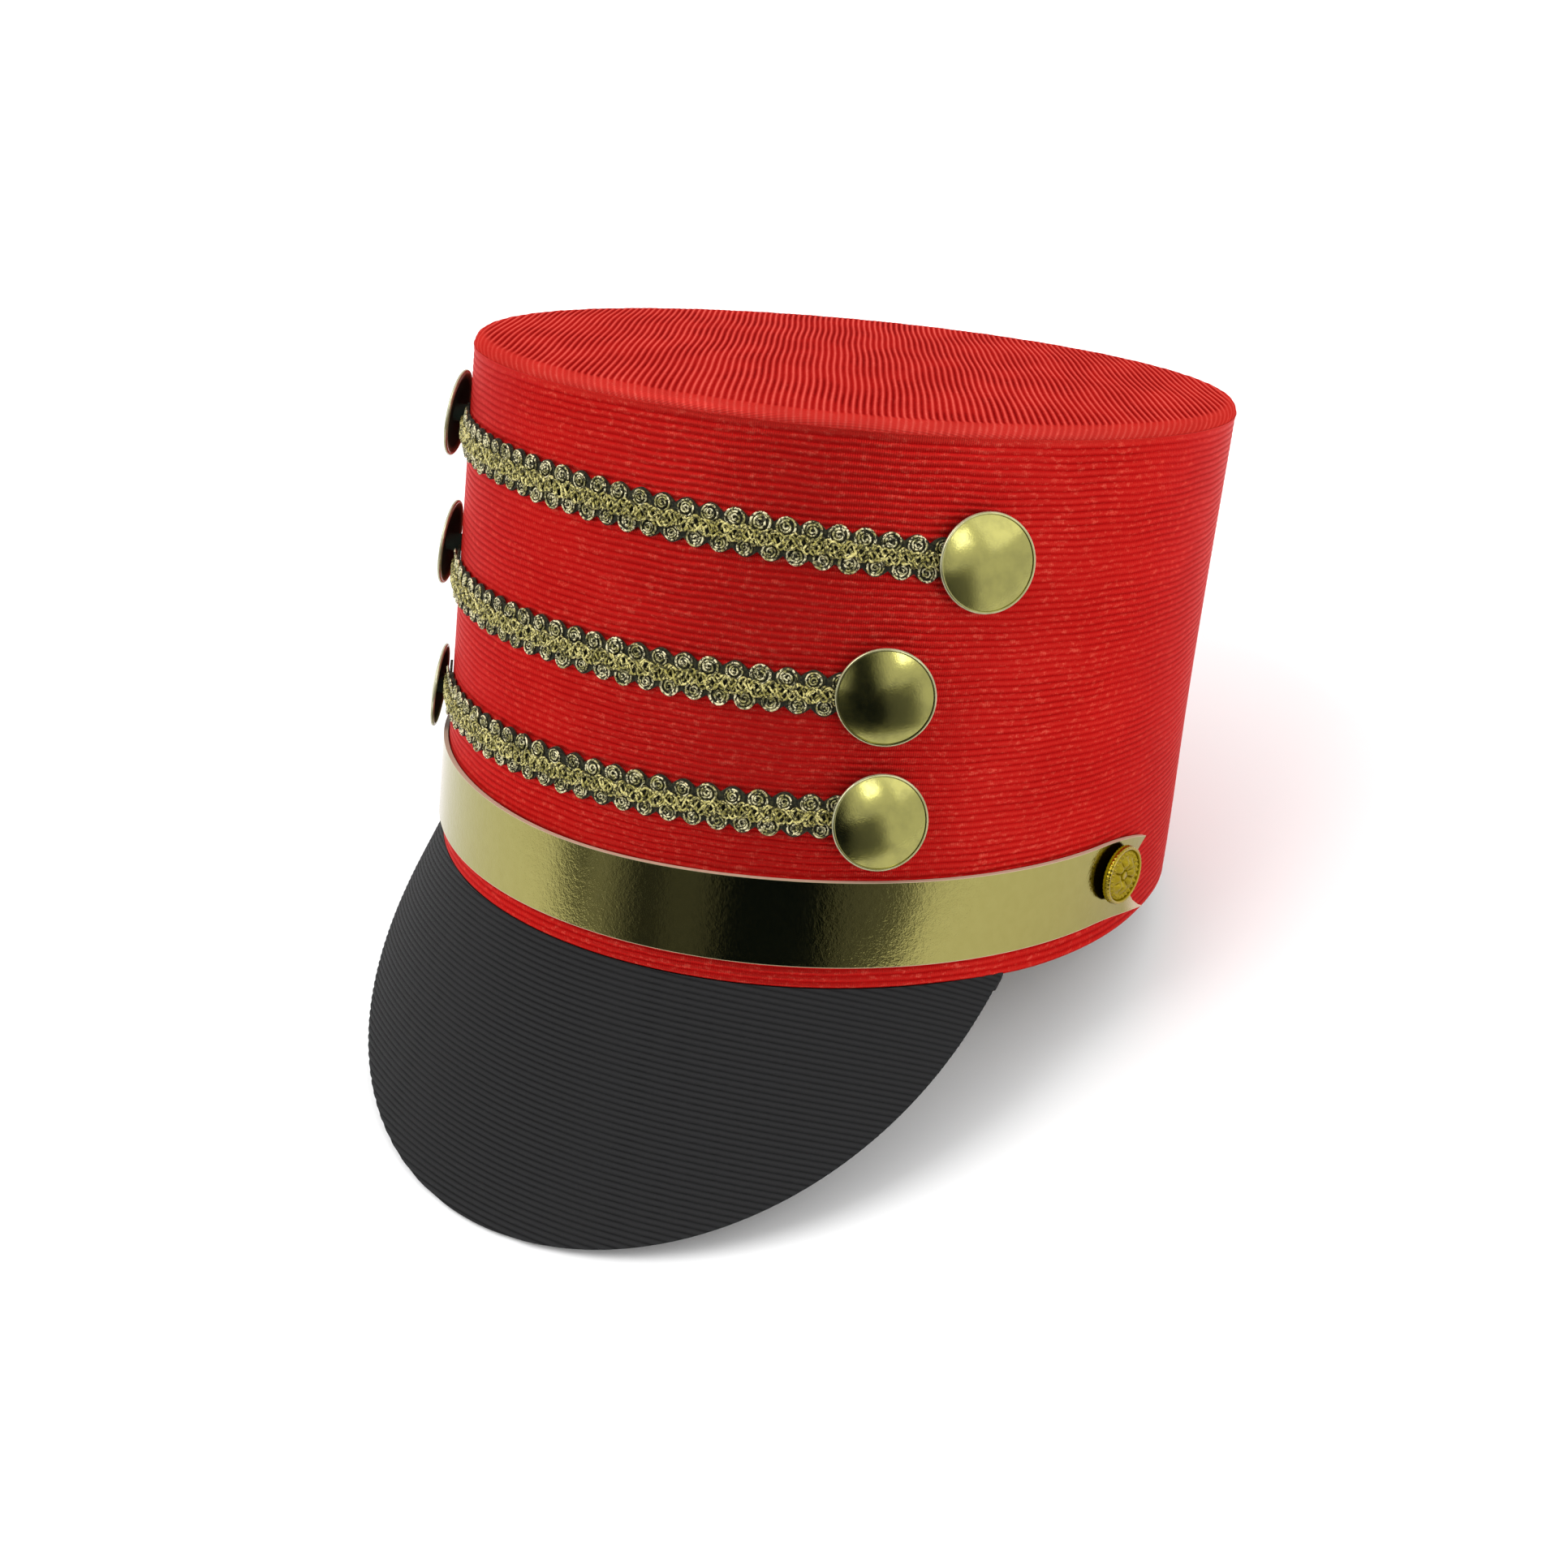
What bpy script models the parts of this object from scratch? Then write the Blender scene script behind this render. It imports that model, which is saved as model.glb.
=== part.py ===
"""Costume soldier hat: a hollow crown with a flat top, a drooping visor, a gold band with two side
buttons, and three rows of gold braid that each end in a domed button.

The pieces are modelled upright in the hat's own frame: the rim is a circle in the plane z = 0, its
centre is the origin, the front is -Y and +Z runs up the crown. One empty then leans the whole hat
back, so that it rests on the visor's front edge and on the back of its rim, with the floor at z = 0.
"""
import math

import bmesh
import bpy
from mathutils import Matrix, Vector

# Crown, in metres. The top is a circle that sits a little behind the rim and slopes down to the back.
RIM_RADIUS = 0.0850
TOP_RADIUS = 0.0846
CROWN_HEIGHT = 0.1107
TOP_SHIFT = 0.0118
TOP_SLOPE = -0.069
WALL = 0.0020
SEAM_DROP = 0.0024
TOP_ROUND = 0.0022
GAP = 0.0003

# Visor. Its section is straight and droops, its length shrinks to nothing at its two ends.
VISOR_LENGTH = 0.0625
VISOR_HALF_ANGLE = math.radians(68.5)
VISOR_FULLNESS = 1.075
VISOR_DROOP = math.radians(66.0)
VISOR_DROOP_AT_ENDS = math.radians(62.5)
VISOR_THICK = 0.0020
VISOR_END = 0.985
VISOR_EDGE_ROUND = 0.0005
TAB_HEIGHT = 0.0090
TAB_THICK = 0.0014
TAB_FOOT = 0.0015
JOG = 0.0035
LEDGE_INSET = 0.0002

# Gold band and the small button at each of its ends. Its upper edge dips a little at the front, and it
# droops towards its ends from the droop angle on.
BAND_LOW = 0.0050
BAND_HIGH = 0.0226
BAND_THICK = 0.0010
BAND_DIP = 0.0009
BAND_DIP_WIDTH = math.radians(24.0)
BAND_DROOP = 0.0030
BAND_DROOP_ANGLE = math.radians(83.0)
BAND_TIP_ANGLE = math.radians(95.5)
BAND_NOTCH = math.radians(4.0)
SIDE_BUTTON_ANGLE = math.radians(87.0)
SIDE_BUTTON_LIFT = 0.0017
SIDE_BUTTON_RADIUS = 0.0065
SIDE_BUTTON_THICK = 0.0016
SIDE_BUTTON_STAND = 0.0010
SIDE_BUTTON_RIM = 0.0007
SIDE_BUTTON_RELIEF = 0.0003

# Braid: a flat strip whose two scalloped edges are staggered by half a pitch.
BRAID_WIDTH = 0.0090
BRAID_THICK = 0.0018
BRAID_PITCH = 0.00505
BRAID_SCALLOP = 0.0011
STEPS_PER_SCALLOP = 4
BRAID_END_CLEAR = 0.0034

# Large buttons: a shallow open shell on a central shank.
BUTTON_RADIUS = 0.0098
BUTTON_RISE = 0.0016
BUTTON_STAND = 0.0027
BUTTON_SHELL = 0.0009
BUTTON_ROLL = 0.0004
SHANK_RADIUS = 0.0020

# Round pieces are drawn with this many sides.
CROWN_SIDES = 96
VISOR_STATIONS = 45
BAND_COLUMNS = 56
BAND_ROWS = 4
BUTTON_SIDES = 24
DOME_RINGS = 4

# For each braid row: where its two buttons sit, as angles from the front in degrees and heights above
# the rim, how far each shell leans out at its foot and how far it turns aside, in degrees, and how high
# the braid runs at its left end, at the front and at its right end. Left is -X.
BRAID_ROWS = (
    dict(left=-50.6, left_button=0.0918, left_tilt=6.0, left_turn=-8.0,
         right=54.8, right_button=0.0858, right_tilt=6.0, right_turn=0.0,
         left_braid=0.0904, front=0.0891, right_braid=0.0850),
    dict(left=-50.8, left_button=0.0630, left_tilt=5.0, left_turn=-6.0,
         right=43.9, right_button=0.0598, right_tilt=0.0, right_turn=0.0,
         left_braid=0.0590, front=0.0597, right_braid=0.0591),
    dict(left=-49.0, left_button=0.0308, left_tilt=4.0, left_turn=-3.0,
         right=45.3, right_button=0.0354, right_tilt=6.0, right_turn=0.0,
         left_braid=0.0334, front=0.0350, right_braid=0.0354),
)

RED = (0.58, 0.008, 0.012)
CHARCOAL = (0.026, 0.026, 0.027)
GOLD_FOIL = (0.36, 0.33, 0.09)
GOLD_THREAD = (0.34, 0.30, 0.10)
GOLD_METAL = (0.52, 0.50, 0.14)
YELLOW_METAL = (0.50, 0.40, 0.05)


def clear_scene():
    """Remove every object of the scene, and leave the file open."""
    for old in list(bpy.data.objects):
        bpy.data.objects.remove(old, do_unlink=True)


def new_collection(name):
    """A collection of the scene by this name."""
    made = bpy.data.collections.new(name)
    bpy.context.scene.collection.children.link(made)
    return made


def finish(name, color, roughness, metallic):
    """A plain Principled material."""
    made = bpy.data.materials.new(name)
    made.use_nodes = True
    shader = made.node_tree.nodes["Principled BSDF"]
    shader.inputs["Base Color"].default_value = (*color, 1.0)
    shader.inputs["Roughness"].default_value = roughness
    shader.inputs["Metallic"].default_value = metallic
    return made


def mesh_from_bmesh(name, bm, closed=True):
    """Turn a bmesh into a mesh that is smooth over its round faces and sharp at its corners."""
    if closed:
        bmesh.ops.recalc_face_normals(bm, faces=bm.faces)
    made = bpy.data.meshes.new(name)
    bm.to_mesh(made)
    bm.free()
    made.shade_smooth()
    made.set_sharp_from_angle(angle=math.radians(35.0))
    return made


def add_object(name, mesh, material, collection, parent):
    """Link a mesh to the hat as a named object with its material."""
    made = bpy.data.objects.new(name, mesh)
    mesh.materials.append(material)
    collection.objects.link(made)
    made.parent = parent
    return made


def add_solidify(piece, thickness, offset):
    """Give an open surface its wall. An offset of -1 grows it inwards, and 1 outwards."""
    wall = piece.modifiers.new("wall", "SOLIDIFY")
    wall.thickness = thickness
    wall.offset = offset
    wall.use_even_offset = True


def crown_radius(height):
    """Radius of the crown's outside at a height above the rim."""
    return RIM_RADIUS + (TOP_RADIUS - RIM_RADIUS) * height / CROWN_HEIGHT


def lean_back(x, y, z):
    """Move a point of an upright crown to where the crown's lean and sloping top put it."""
    share = z / CROWN_HEIGHT
    moved_y = y + TOP_SHIFT * share
    return Vector((x, moved_y, z + TOP_SLOPE * share * moved_y))


def below_or_within(x, y, z):
    """A point of the visor: its tab leans with the wall, and what hangs below the rim stays upright."""
    return lean_back(x, y, z) if z > 0.0 else Vector((x, y, z))


def crown_point(angle, height, out=0.0):
    """A point on the crown's outside, or that far off it. Angles run from the front, -Y, towards +X."""
    radius = crown_radius(height) + out
    return lean_back(radius * math.sin(angle), -radius * math.cos(angle), height)


def crown_frame(angle, height, out=0.0):
    """The matrix that stands a piece on the crown's outside, with its own Z pointing off the surface."""
    step = 1e-3
    here = crown_point(angle, height, out)
    along = (crown_point(angle + step, height, out) - here).normalized()
    up = (crown_point(angle, height + step * RIM_RADIUS, out) - here).normalized()
    normal = along.cross(up).normalized()
    up = normal.cross(along)
    turn = Matrix((along, up, normal)).transposed().to_4x4()
    return Matrix.Translation(here) @ turn


def build_crown_wall(collection, parent):
    """The crown's side: a tube of stiff fabric, open at both ends."""
    height = CROWN_HEIGHT - SEAM_DROP - GAP
    bm = bmesh.new()
    bmesh.ops.create_cone(
        bm, cap_ends=False, segments=CROWN_SIDES,
        radius1=RIM_RADIUS, radius2=crown_radius(height), depth=height,
    )
    for vert in bm.verts:
        vert.co = lean_back(vert.co.x, vert.co.y, vert.co.z + height / 2)
    mesh = mesh_from_bmesh("crown_wall", bm, closed=False)
    wall = add_object("crown_wall", mesh, finish("red_fabric", RED, 0.55, 0.0), collection, parent)
    add_solidify(wall, WALL, -1.0)


def build_crown_top(collection, parent):
    """The crown's flat top: a shallow lid with a rounded edge and a short skirt down to the seam."""
    bm = bmesh.new()
    bmesh.ops.create_cone(
        bm, cap_ends=True, segments=CROWN_SIDES, radius1=TOP_RADIUS, radius2=TOP_RADIUS, depth=SEAM_DROP
    )
    bm.faces.ensure_lookup_table()
    caps = [face for face in bm.faces if len(face.verts) > 4]
    underside, upper = sorted(caps, key=lambda face: face.calc_center_median().z)
    bmesh.ops.bevel(
        bm, geom=list(upper.edges), offset=TOP_ROUND, segments=4, profile=0.5, affect="EDGES",
        clamp_overlap=True,
    )
    bmesh.ops.inset_region(bm, faces=[underside], thickness=WALL, use_even_offset=True)
    bmesh.ops.translate(bm, verts=list(underside.verts), vec=(0.0, 0.0, SEAM_DROP - WALL))
    for vert in bm.verts:
        vert.co = lean_back(vert.co.x, vert.co.y, vert.co.z + CROWN_HEIGHT - SEAM_DROP / 2)
    mesh = mesh_from_bmesh("crown_top", bm)
    add_object("crown_top", mesh, finish("red_fabric_top", RED, 0.55, 0.0), collection, parent)


def visor_length(turn):
    """Length of the visor at a station, from -1 at one end to 1 at the other."""
    return VISOR_LENGTH * (1.0 - turn * turn) ** VISOR_FULLNESS


def visor_section(turn):
    """The visor's closed outline at a station, as pairs of radius and height.

    It runs down the outside of the tab that is glued inside the wall, out along the ledge under the
    rim, down the visor's upper face, round its edge, and back up the underside.
    """
    droop = VISOR_DROOP + (VISOR_DROOP_AT_ENDS - VISOR_DROOP) * turn * turn
    run, fall = math.cos(droop), math.sin(droop)
    length = visor_length(turn)
    tab_out = RIM_RADIUS - WALL - GAP
    tab_in = tab_out - TAB_THICK
    shares = (0.2, 0.45, 0.7, 1.0)
    straight = length - VISOR_EDGE_ROUND
    start = min(JOG, straight / 2)
    outline = [(tab_out, TAB_HEIGHT), (tab_out, -GAP), (RIM_RADIUS - LEDGE_INSET, -GAP)]
    for share in shares:
        outline.append((RIM_RADIUS + straight * share * run, -straight * share * fall))
    middle = VISOR_THICK / 2
    outline.append((RIM_RADIUS + length * run - middle * fall, -length * fall - middle * run))
    for share in reversed((0.0, *shares)):
        reach = start + (straight - start) * share
        radius = RIM_RADIUS + reach * run - VISOR_THICK * fall
        outline.append((radius, -reach * fall - VISOR_THICK * run))
    outline += [(tab_in, -TAB_FOOT), (tab_in, TAB_HEIGHT)]
    return outline


def build_visor(collection, parent):
    """The black visor, lofted through its sections from one end to the other."""
    bm = bmesh.new()
    rings = []
    for station in range(VISOR_STATIONS):
        turn = VISOR_END * (2.0 * station / (VISOR_STATIONS - 1) - 1.0)
        angle = turn * VISOR_HALF_ANGLE
        rings.append([
            bm.verts.new(below_or_within(radius * math.sin(angle), -radius * math.cos(angle), height))
            for radius, height in visor_section(turn)
        ])
    for first, second in zip(rings, rings[1:]):
        for k in range(len(first)):
            after = (k + 1) % len(first)
            bm.faces.new((first[k], second[k], second[after], first[after]))
    bm.faces.new(rings[0])
    bm.faces.new(rings[-1])
    mesh = mesh_from_bmesh("visor", bm)
    add_object("visor", mesh, finish("black_fabric", CHARCOAL, 0.6, 0.0), collection, parent)


def grid_surface(columns, rows, place):
    """An open sheet of quads, whose corner in a column and a row is where place(column, row) says."""
    bm = bmesh.new()
    corners = [[bm.verts.new(place(i, j)) for j in range(rows + 1)] for i in range(columns + 1)]
    for i in range(columns):
        for j in range(rows):
            bm.faces.new((corners[i][j], corners[i + 1][j], corners[i + 1][j + 1], corners[i][j + 1]))
    return bm


def band_middle(angle):
    """Height of the middle of the band's ends and sides, which droops towards each tip."""
    past = max(0.0, (abs(angle) - BAND_DROOP_ANGLE) / (BAND_TIP_ANGLE - BAND_DROOP_ANGLE))
    return (BAND_LOW + BAND_HIGH) / 2 - BAND_DROOP * past * past


def build_gold_band(collection, parent):
    """The gold strip round the front half, with a swallow-tail cut at each end."""

    def place(column, row):
        level = 2.0 * row / BAND_ROWS - 1.0
        end = BAND_TIP_ANGLE - BAND_NOTCH * (1.0 - level * level)
        angle = end * (2.0 * column / BAND_COLUMNS - 1.0)
        dip = BAND_DIP * math.exp(-((angle / BAND_DIP_WIDTH) ** 2)) * (1.0 + level) / 2
        return crown_point(angle, band_middle(angle) + level * (BAND_HIGH - BAND_LOW) / 2 - dip, GAP)

    mesh = mesh_from_bmesh("gold_band", grid_surface(BAND_COLUMNS, BAND_ROWS, place), closed=False)
    band = add_object("gold_band", mesh, finish("gold_foil", GOLD_FOIL, 0.25, 0.8), collection, parent)
    add_solidify(band, BAND_THICK, 1.0)


def braid_height(row, angle):
    """Height of a row's centre line at an angle in radians, on the parabola through its three heights."""
    left, right = math.radians(row["left"]), math.radians(row["right"])
    low, mid, high = row["left_braid"], row["front"], row["right_braid"]
    to_left = angle * (angle - right) / (left * (left - right))
    to_front = (angle - left) * (angle - right) / (left * right)
    to_right = angle * (angle - left) / (right * (right - left))
    return low * to_left + mid * to_front + high * to_right


def build_braid(number, row, collection, parent):
    """One row of braid, from just beside its left button's shank to just beside its right one's."""
    clear = BRAID_END_CLEAR / RIM_RADIUS
    start = math.radians(row["left"]) + clear
    end = math.radians(row["right"]) - clear
    scallops = round((end - start) * RIM_RADIUS / BRAID_PITCH)
    columns = scallops * STEPS_PER_SCALLOP

    def place(column, side):
        angle = start + (end - start) * column / columns
        phase = math.pi * (column / STEPS_PER_SCALLOP + 0.5 * side)
        half = BRAID_WIDTH / 2 - BRAID_SCALLOP * (1.0 - abs(math.sin(phase)))
        return crown_point(angle, braid_height(row, angle) + (2 * side - 1) * half, GAP)

    name = f"braid_row_{number}"
    mesh = mesh_from_bmesh(name, grid_surface(columns, 1, place), closed=False)
    thread = finish(f"gold_braid_{number}", GOLD_THREAD, 0.45, 0.6)
    braid = add_object(name, mesh, thread, collection, parent)
    add_solidify(braid, BRAID_THICK, 1.0)


def turned_mesh(name, profile):
    """A closed solid turned about Z from a profile of (radius, height) pairs that runs from top to bottom."""
    mesh = bpy.data.meshes.new(name)
    corners = [(radius, 0.0, height) for radius, height in profile]
    mesh.from_pydata(corners, [(k, k + 1) for k in range(len(corners) - 1)], [])
    guide = bpy.data.objects.new(name, mesh)
    bpy.context.scene.collection.objects.link(guide)
    turn = guide.modifiers.new("turn", "SCREW")
    turn.steps = BUTTON_SIDES
    turn.render_steps = BUTTON_SIDES
    turn.use_merge_vertices = True
    turn.merge_threshold = 0.00001
    turned = bpy.data.meshes.new_from_object(guide.evaluated_get(bpy.context.evaluated_depsgraph_get()))
    bpy.data.objects.remove(guide, do_unlink=True)
    bm = bmesh.new()
    bm.from_mesh(turned)
    bmesh.ops.remove_doubles(bm, verts=bm.verts, dist=0.00001)
    bpy.data.meshes.remove(turned)
    return mesh_from_bmesh(name, bm)


def dome_profile(radius, foot, rise, rings):
    """Points down a shallow dome from its crest to its edge, as a part of a circle."""
    sphere = (radius * radius + rise * rise) / (2 * rise)
    spread = math.asin(radius / sphere)
    points = []
    for k in range(rings + 1):
        angle = spread * k / rings
        points.append((sphere * math.sin(angle), foot + rise - sphere * (1.0 - math.cos(angle))))
    return points


def large_button_mesh(name, tilt, turn):
    """An open domed shell with a rolled rim, leaning out at its foot, on a shank that stands straight.

    A turn below zero brings the shell's side towards the front off the crown.
    """
    seat = BUTTON_STAND + BUTTON_ROLL
    outside = dome_profile(BUTTON_RADIUS - BUTTON_ROLL, seat, BUTTON_RISE, DOME_RINGS)
    roll = [(BUTTON_RADIUS, seat), (BUTTON_RADIUS, BUTTON_STAND + 0.2 * BUTTON_ROLL)]
    inner_radius = BUTTON_RADIUS - BUTTON_ROLL - BUTTON_SHELL
    inside = dome_profile(inner_radius, BUTTON_STAND, BUTTON_RISE - BUTTON_SHELL / 2, DOME_RINGS)
    hollow = [point for point in reversed(inside) if point[0] > 1.5 * SHANK_RADIUS]
    ceiling = hollow[-1][1]
    shank = [(SHANK_RADIUS, ceiling), (SHANK_RADIUS, GAP), (0.0, GAP)]
    mesh = turned_mesh(name, outside + roll + hollow + shank)
    lean = Matrix.Rotation(turn, 4, "Y") @ Matrix.Rotation(-tilt, 4, "X")
    lean = Matrix.Translation((0.0, 0.0, ceiling)) @ lean @ Matrix.Translation((0.0, 0.0, -ceiling))
    for vert in mesh.vertices:
        if vert.co.z > 2 * GAP:
            vert.co = lean @ vert.co
    return mesh


def side_button_mesh(name):
    """A coin-shaped button with a raised rim and a central boss, on a shank that stands on the band."""
    top = SIDE_BUTTON_STAND + SIDE_BUTTON_THICK
    field = top - SIDE_BUTTON_RELIEF
    inner = SIDE_BUTTON_RADIUS - SIDE_BUTTON_RIM
    boss = SIDE_BUTTON_RADIUS / 3
    profile = [
        (0.0, top), (boss, top), (boss + SIDE_BUTTON_RELIEF, field),
        (inner - SIDE_BUTTON_RELIEF, field), (inner, top), (SIDE_BUTTON_RADIUS, top - SIDE_BUTTON_RELIEF),
        (SIDE_BUTTON_RADIUS, SIDE_BUTTON_STAND), (SHANK_RADIUS, SIDE_BUTTON_STAND),
        (SHANK_RADIUS, GAP), (0.0, GAP),
    ]
    return turned_mesh(name, profile)


def build_buttons(collection, parent):
    """Six large buttons at the ends of the braid rows, and the small one at each end of the band."""
    for number, row in enumerate(BRAID_ROWS, start=1):
        for side in ("left", "right"):
            name = f"button_{number}_{side}"
            tilt, turn = math.radians(row[f"{side}_tilt"]), math.radians(row[f"{side}_turn"])
            mesh = large_button_mesh(name, tilt, turn)
            button = add_object(name, mesh, finish(f"gold_{name}", GOLD_METAL, 0.2, 1.0), collection, parent)
            button.matrix_local = crown_frame(math.radians(row[side]), row[f"{side}_button"])
    for side, angle in (("left", -SIDE_BUTTON_ANGLE), ("right", SIDE_BUTTON_ANGLE)):
        name = f"side_button_{side}"
        metal = finish(f"yellow_{name}", YELLOW_METAL, 0.3, 1.0)
        button = add_object(name, side_button_mesh(name), metal, collection, parent)
        height = band_middle(angle) + SIDE_BUTTON_LIFT
        button.matrix_local = crown_frame(angle, height, GAP + BAND_THICK)


def settle(frame, collection):
    """Lean the hat back on its visor and rim, then centre its box over the origin with its foot at z = 0."""
    run, fall = math.cos(VISOR_DROOP), math.sin(VISOR_DROOP)
    tip_reach = 2 * RIM_RADIUS + VISOR_LENGTH * run - VISOR_THICK / 2 * fall
    tip_drop = VISOR_LENGTH * fall + VISOR_THICK / 2 * run
    frame.rotation_euler = (-math.atan2(tip_drop, tip_reach), 0.0, 0.0)
    graph = bpy.context.evaluated_depsgraph_get()
    graph.update()
    points = []
    for piece in collection.objects:
        if piece.type == "MESH":
            solid = piece.evaluated_get(graph)
            points += [solid.matrix_world @ vert.co for vert in solid.data.vertices]
    low = Vector([min(point[axis] for point in points) for axis in range(3)])
    high = Vector([max(point[axis] for point in points) for axis in range(3)])
    frame.location = (-(low.x + high.x) / 2, -(low.y + high.y) / 2, -low.z)


def main():
    """Build the hat."""
    clear_scene()
    collection = new_collection("costume_soldier_hat")
    frame = bpy.data.objects.new("hat_frame", None)
    collection.objects.link(frame)
    build_crown_wall(collection, frame)
    build_crown_top(collection, frame)
    build_visor(collection, frame)
    build_gold_band(collection, frame)
    for number, row in enumerate(BRAID_ROWS, start=1):
        build_braid(number, row, collection, frame)
    build_buttons(collection, frame)
    settle(frame, collection)


main()
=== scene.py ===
"""Costume soldier hat, dressed for its picture.

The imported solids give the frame. Every piece here takes its place from the hat's own form, which is
upright, with the rim's centre at the origin and the front at -Y, and from the matrix that leans that
form back onto the floor. The piece then stands for the solid that it covers.
"""
import logging
import math
from dataclasses import dataclass, field
from enum import Enum
from typing import Any, Callable, Optional, Union

import bmesh
import bpy
import numpy as np
from mathutils import Matrix, Vector


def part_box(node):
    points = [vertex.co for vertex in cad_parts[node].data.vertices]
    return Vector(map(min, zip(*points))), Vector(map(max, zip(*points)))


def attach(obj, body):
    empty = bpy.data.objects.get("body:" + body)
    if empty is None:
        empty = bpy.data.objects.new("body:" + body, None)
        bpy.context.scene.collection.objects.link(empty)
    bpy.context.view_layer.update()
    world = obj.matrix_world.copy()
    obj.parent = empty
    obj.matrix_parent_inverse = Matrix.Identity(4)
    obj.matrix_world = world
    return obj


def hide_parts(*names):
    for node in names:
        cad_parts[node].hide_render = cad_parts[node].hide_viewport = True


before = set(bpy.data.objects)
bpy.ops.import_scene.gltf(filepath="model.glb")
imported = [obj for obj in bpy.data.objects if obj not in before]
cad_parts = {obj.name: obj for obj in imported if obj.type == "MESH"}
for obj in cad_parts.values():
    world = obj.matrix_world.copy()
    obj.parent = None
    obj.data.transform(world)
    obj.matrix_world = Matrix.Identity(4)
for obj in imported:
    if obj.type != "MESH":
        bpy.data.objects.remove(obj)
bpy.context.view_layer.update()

log = logging.getLogger("hat")

MM = 0.001
UV_NAME = "weave"
Colour = tuple[float, float, float]
Value = Union["Wire", float]


class Side(Enum):
    """Where a button sits on the hat. Left is -X, as the hat is seen from its front."""

    LEFT = "left"
    RIGHT = "right"


class Wire:
    """A node's output that is used in sums, where each operator adds the Math node it stands for."""

    def __init__(self, graph: "Graph", socket: bpy.types.NodeSocket) -> None:
        """Keep the socket and the graph that it is in."""
        self.graph = graph
        self.socket = socket

    def maths(self, operation: str, *others: Value) -> "Wire":
        """The Math node of this operation, fed with this value and the others."""
        return self.graph.node("ShaderNodeMath", {"operation": operation}, dict(enumerate((self, *others))))

    def flipped(self, operation: str, first: Value) -> "Wire":
        """The Math node of this operation, with a number before this value."""
        return self.graph.node("ShaderNodeMath", {"operation": operation}, {0: first, 1: self})

    def __add__(self, other: Value) -> "Wire":
        """Sum of the two."""
        return self.maths("ADD", other)

    def __radd__(self, other: Value) -> "Wire":
        """Sum, with a number first."""
        return self.flipped("ADD", other)

    def __sub__(self, other: Value) -> "Wire":
        """Difference of the two."""
        return self.maths("SUBTRACT", other)

    def __rsub__(self, other: Value) -> "Wire":
        """Difference, with a number first."""
        return self.flipped("SUBTRACT", other)

    def __mul__(self, other: Value) -> "Wire":
        """Product of the two."""
        return self.maths("MULTIPLY", other)

    def __rmul__(self, other: Value) -> "Wire":
        """Product, with a number first."""
        return self.flipped("MULTIPLY", other)

    def __pow__(self, other: Value) -> "Wire":
        """This value to a power."""
        return self.maths("POWER", other)

    def sine(self) -> "Wire":
        """Sine of this value, in radians."""
        return self.maths("SINE")

    def size(self) -> "Wire":
        """This value without its sign."""
        return self.maths("ABSOLUTE")

    def floor(self) -> "Wire":
        """The whole number below this value."""
        return self.maths("FLOOR")

    def ramp(self, low: float, high: float) -> "Wire":
        """A smooth step of this value, from 0 at low to 1 at high."""
        settings = {"interpolation_type": "SMOOTHSTEP"}
        return self.graph.node("ShaderNodeMapRange", settings, {0: self, 1: low, 2: high})

    def sibling(self, name: str) -> "Wire":
        """Another output of this value's node."""
        return Wire(self.graph, self.socket.node.outputs[name])


class Graph:
    """A node tree, of a material or of geometry, that is put together by one method."""

    def __init__(self, tree: bpy.types.NodeTree) -> None:
        """Work on this tree."""
        self.tree = tree

    def node(
        self,
        kind: str,
        settings: Optional[dict] = None,
        inputs: Optional[dict] = None,
        output: Union[int, str] = 0,
    ) -> Wire:
        """Add a node, set it, feed it, and give back one of its outputs.

        Args:
            kind: the node's Blender type.
            settings: its properties, set before its sockets.
            inputs: values or wires by socket name or number.
            output: name or number of the output that is wanted.

        Returns:
            The output as a wire.
        """
        made = self.tree.nodes.new(kind)
        for name, value in (settings or {}).items():
            setattr(made, name, value)
        for key, value in (inputs or {}).items():
            self.feed(self._find(made.inputs, key), value)
        return Wire(self, self._find(made.outputs, output))

    @staticmethod
    def _find(sockets: Any, key: Union[int, str]) -> bpy.types.NodeSocket:
        """Find a socket.

        Args:
            sockets: a node's inputs or its outputs.
            key: the socket's number, or the name of one that is in use.

        Returns:
            The socket.
        """
        if isinstance(key, int):
            return sockets[key]
        return next(socket for socket in sockets if socket.name == key and socket.enabled)

    def feed(self, socket: bpy.types.NodeSocket, value: Any) -> None:
        """Link a wire to a socket, or set the socket to a plain value.

        Args:
            socket: the input to feed.
            value: a wire, number, colour, name or material.
        """
        if isinstance(value, Wire):
            self.tree.links.new(value.socket, socket)
        elif socket.type == "RGBA" and len(value) == 3:
            socket.default_value = (*value, 1.0)
        else:
            socket.default_value = value


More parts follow.
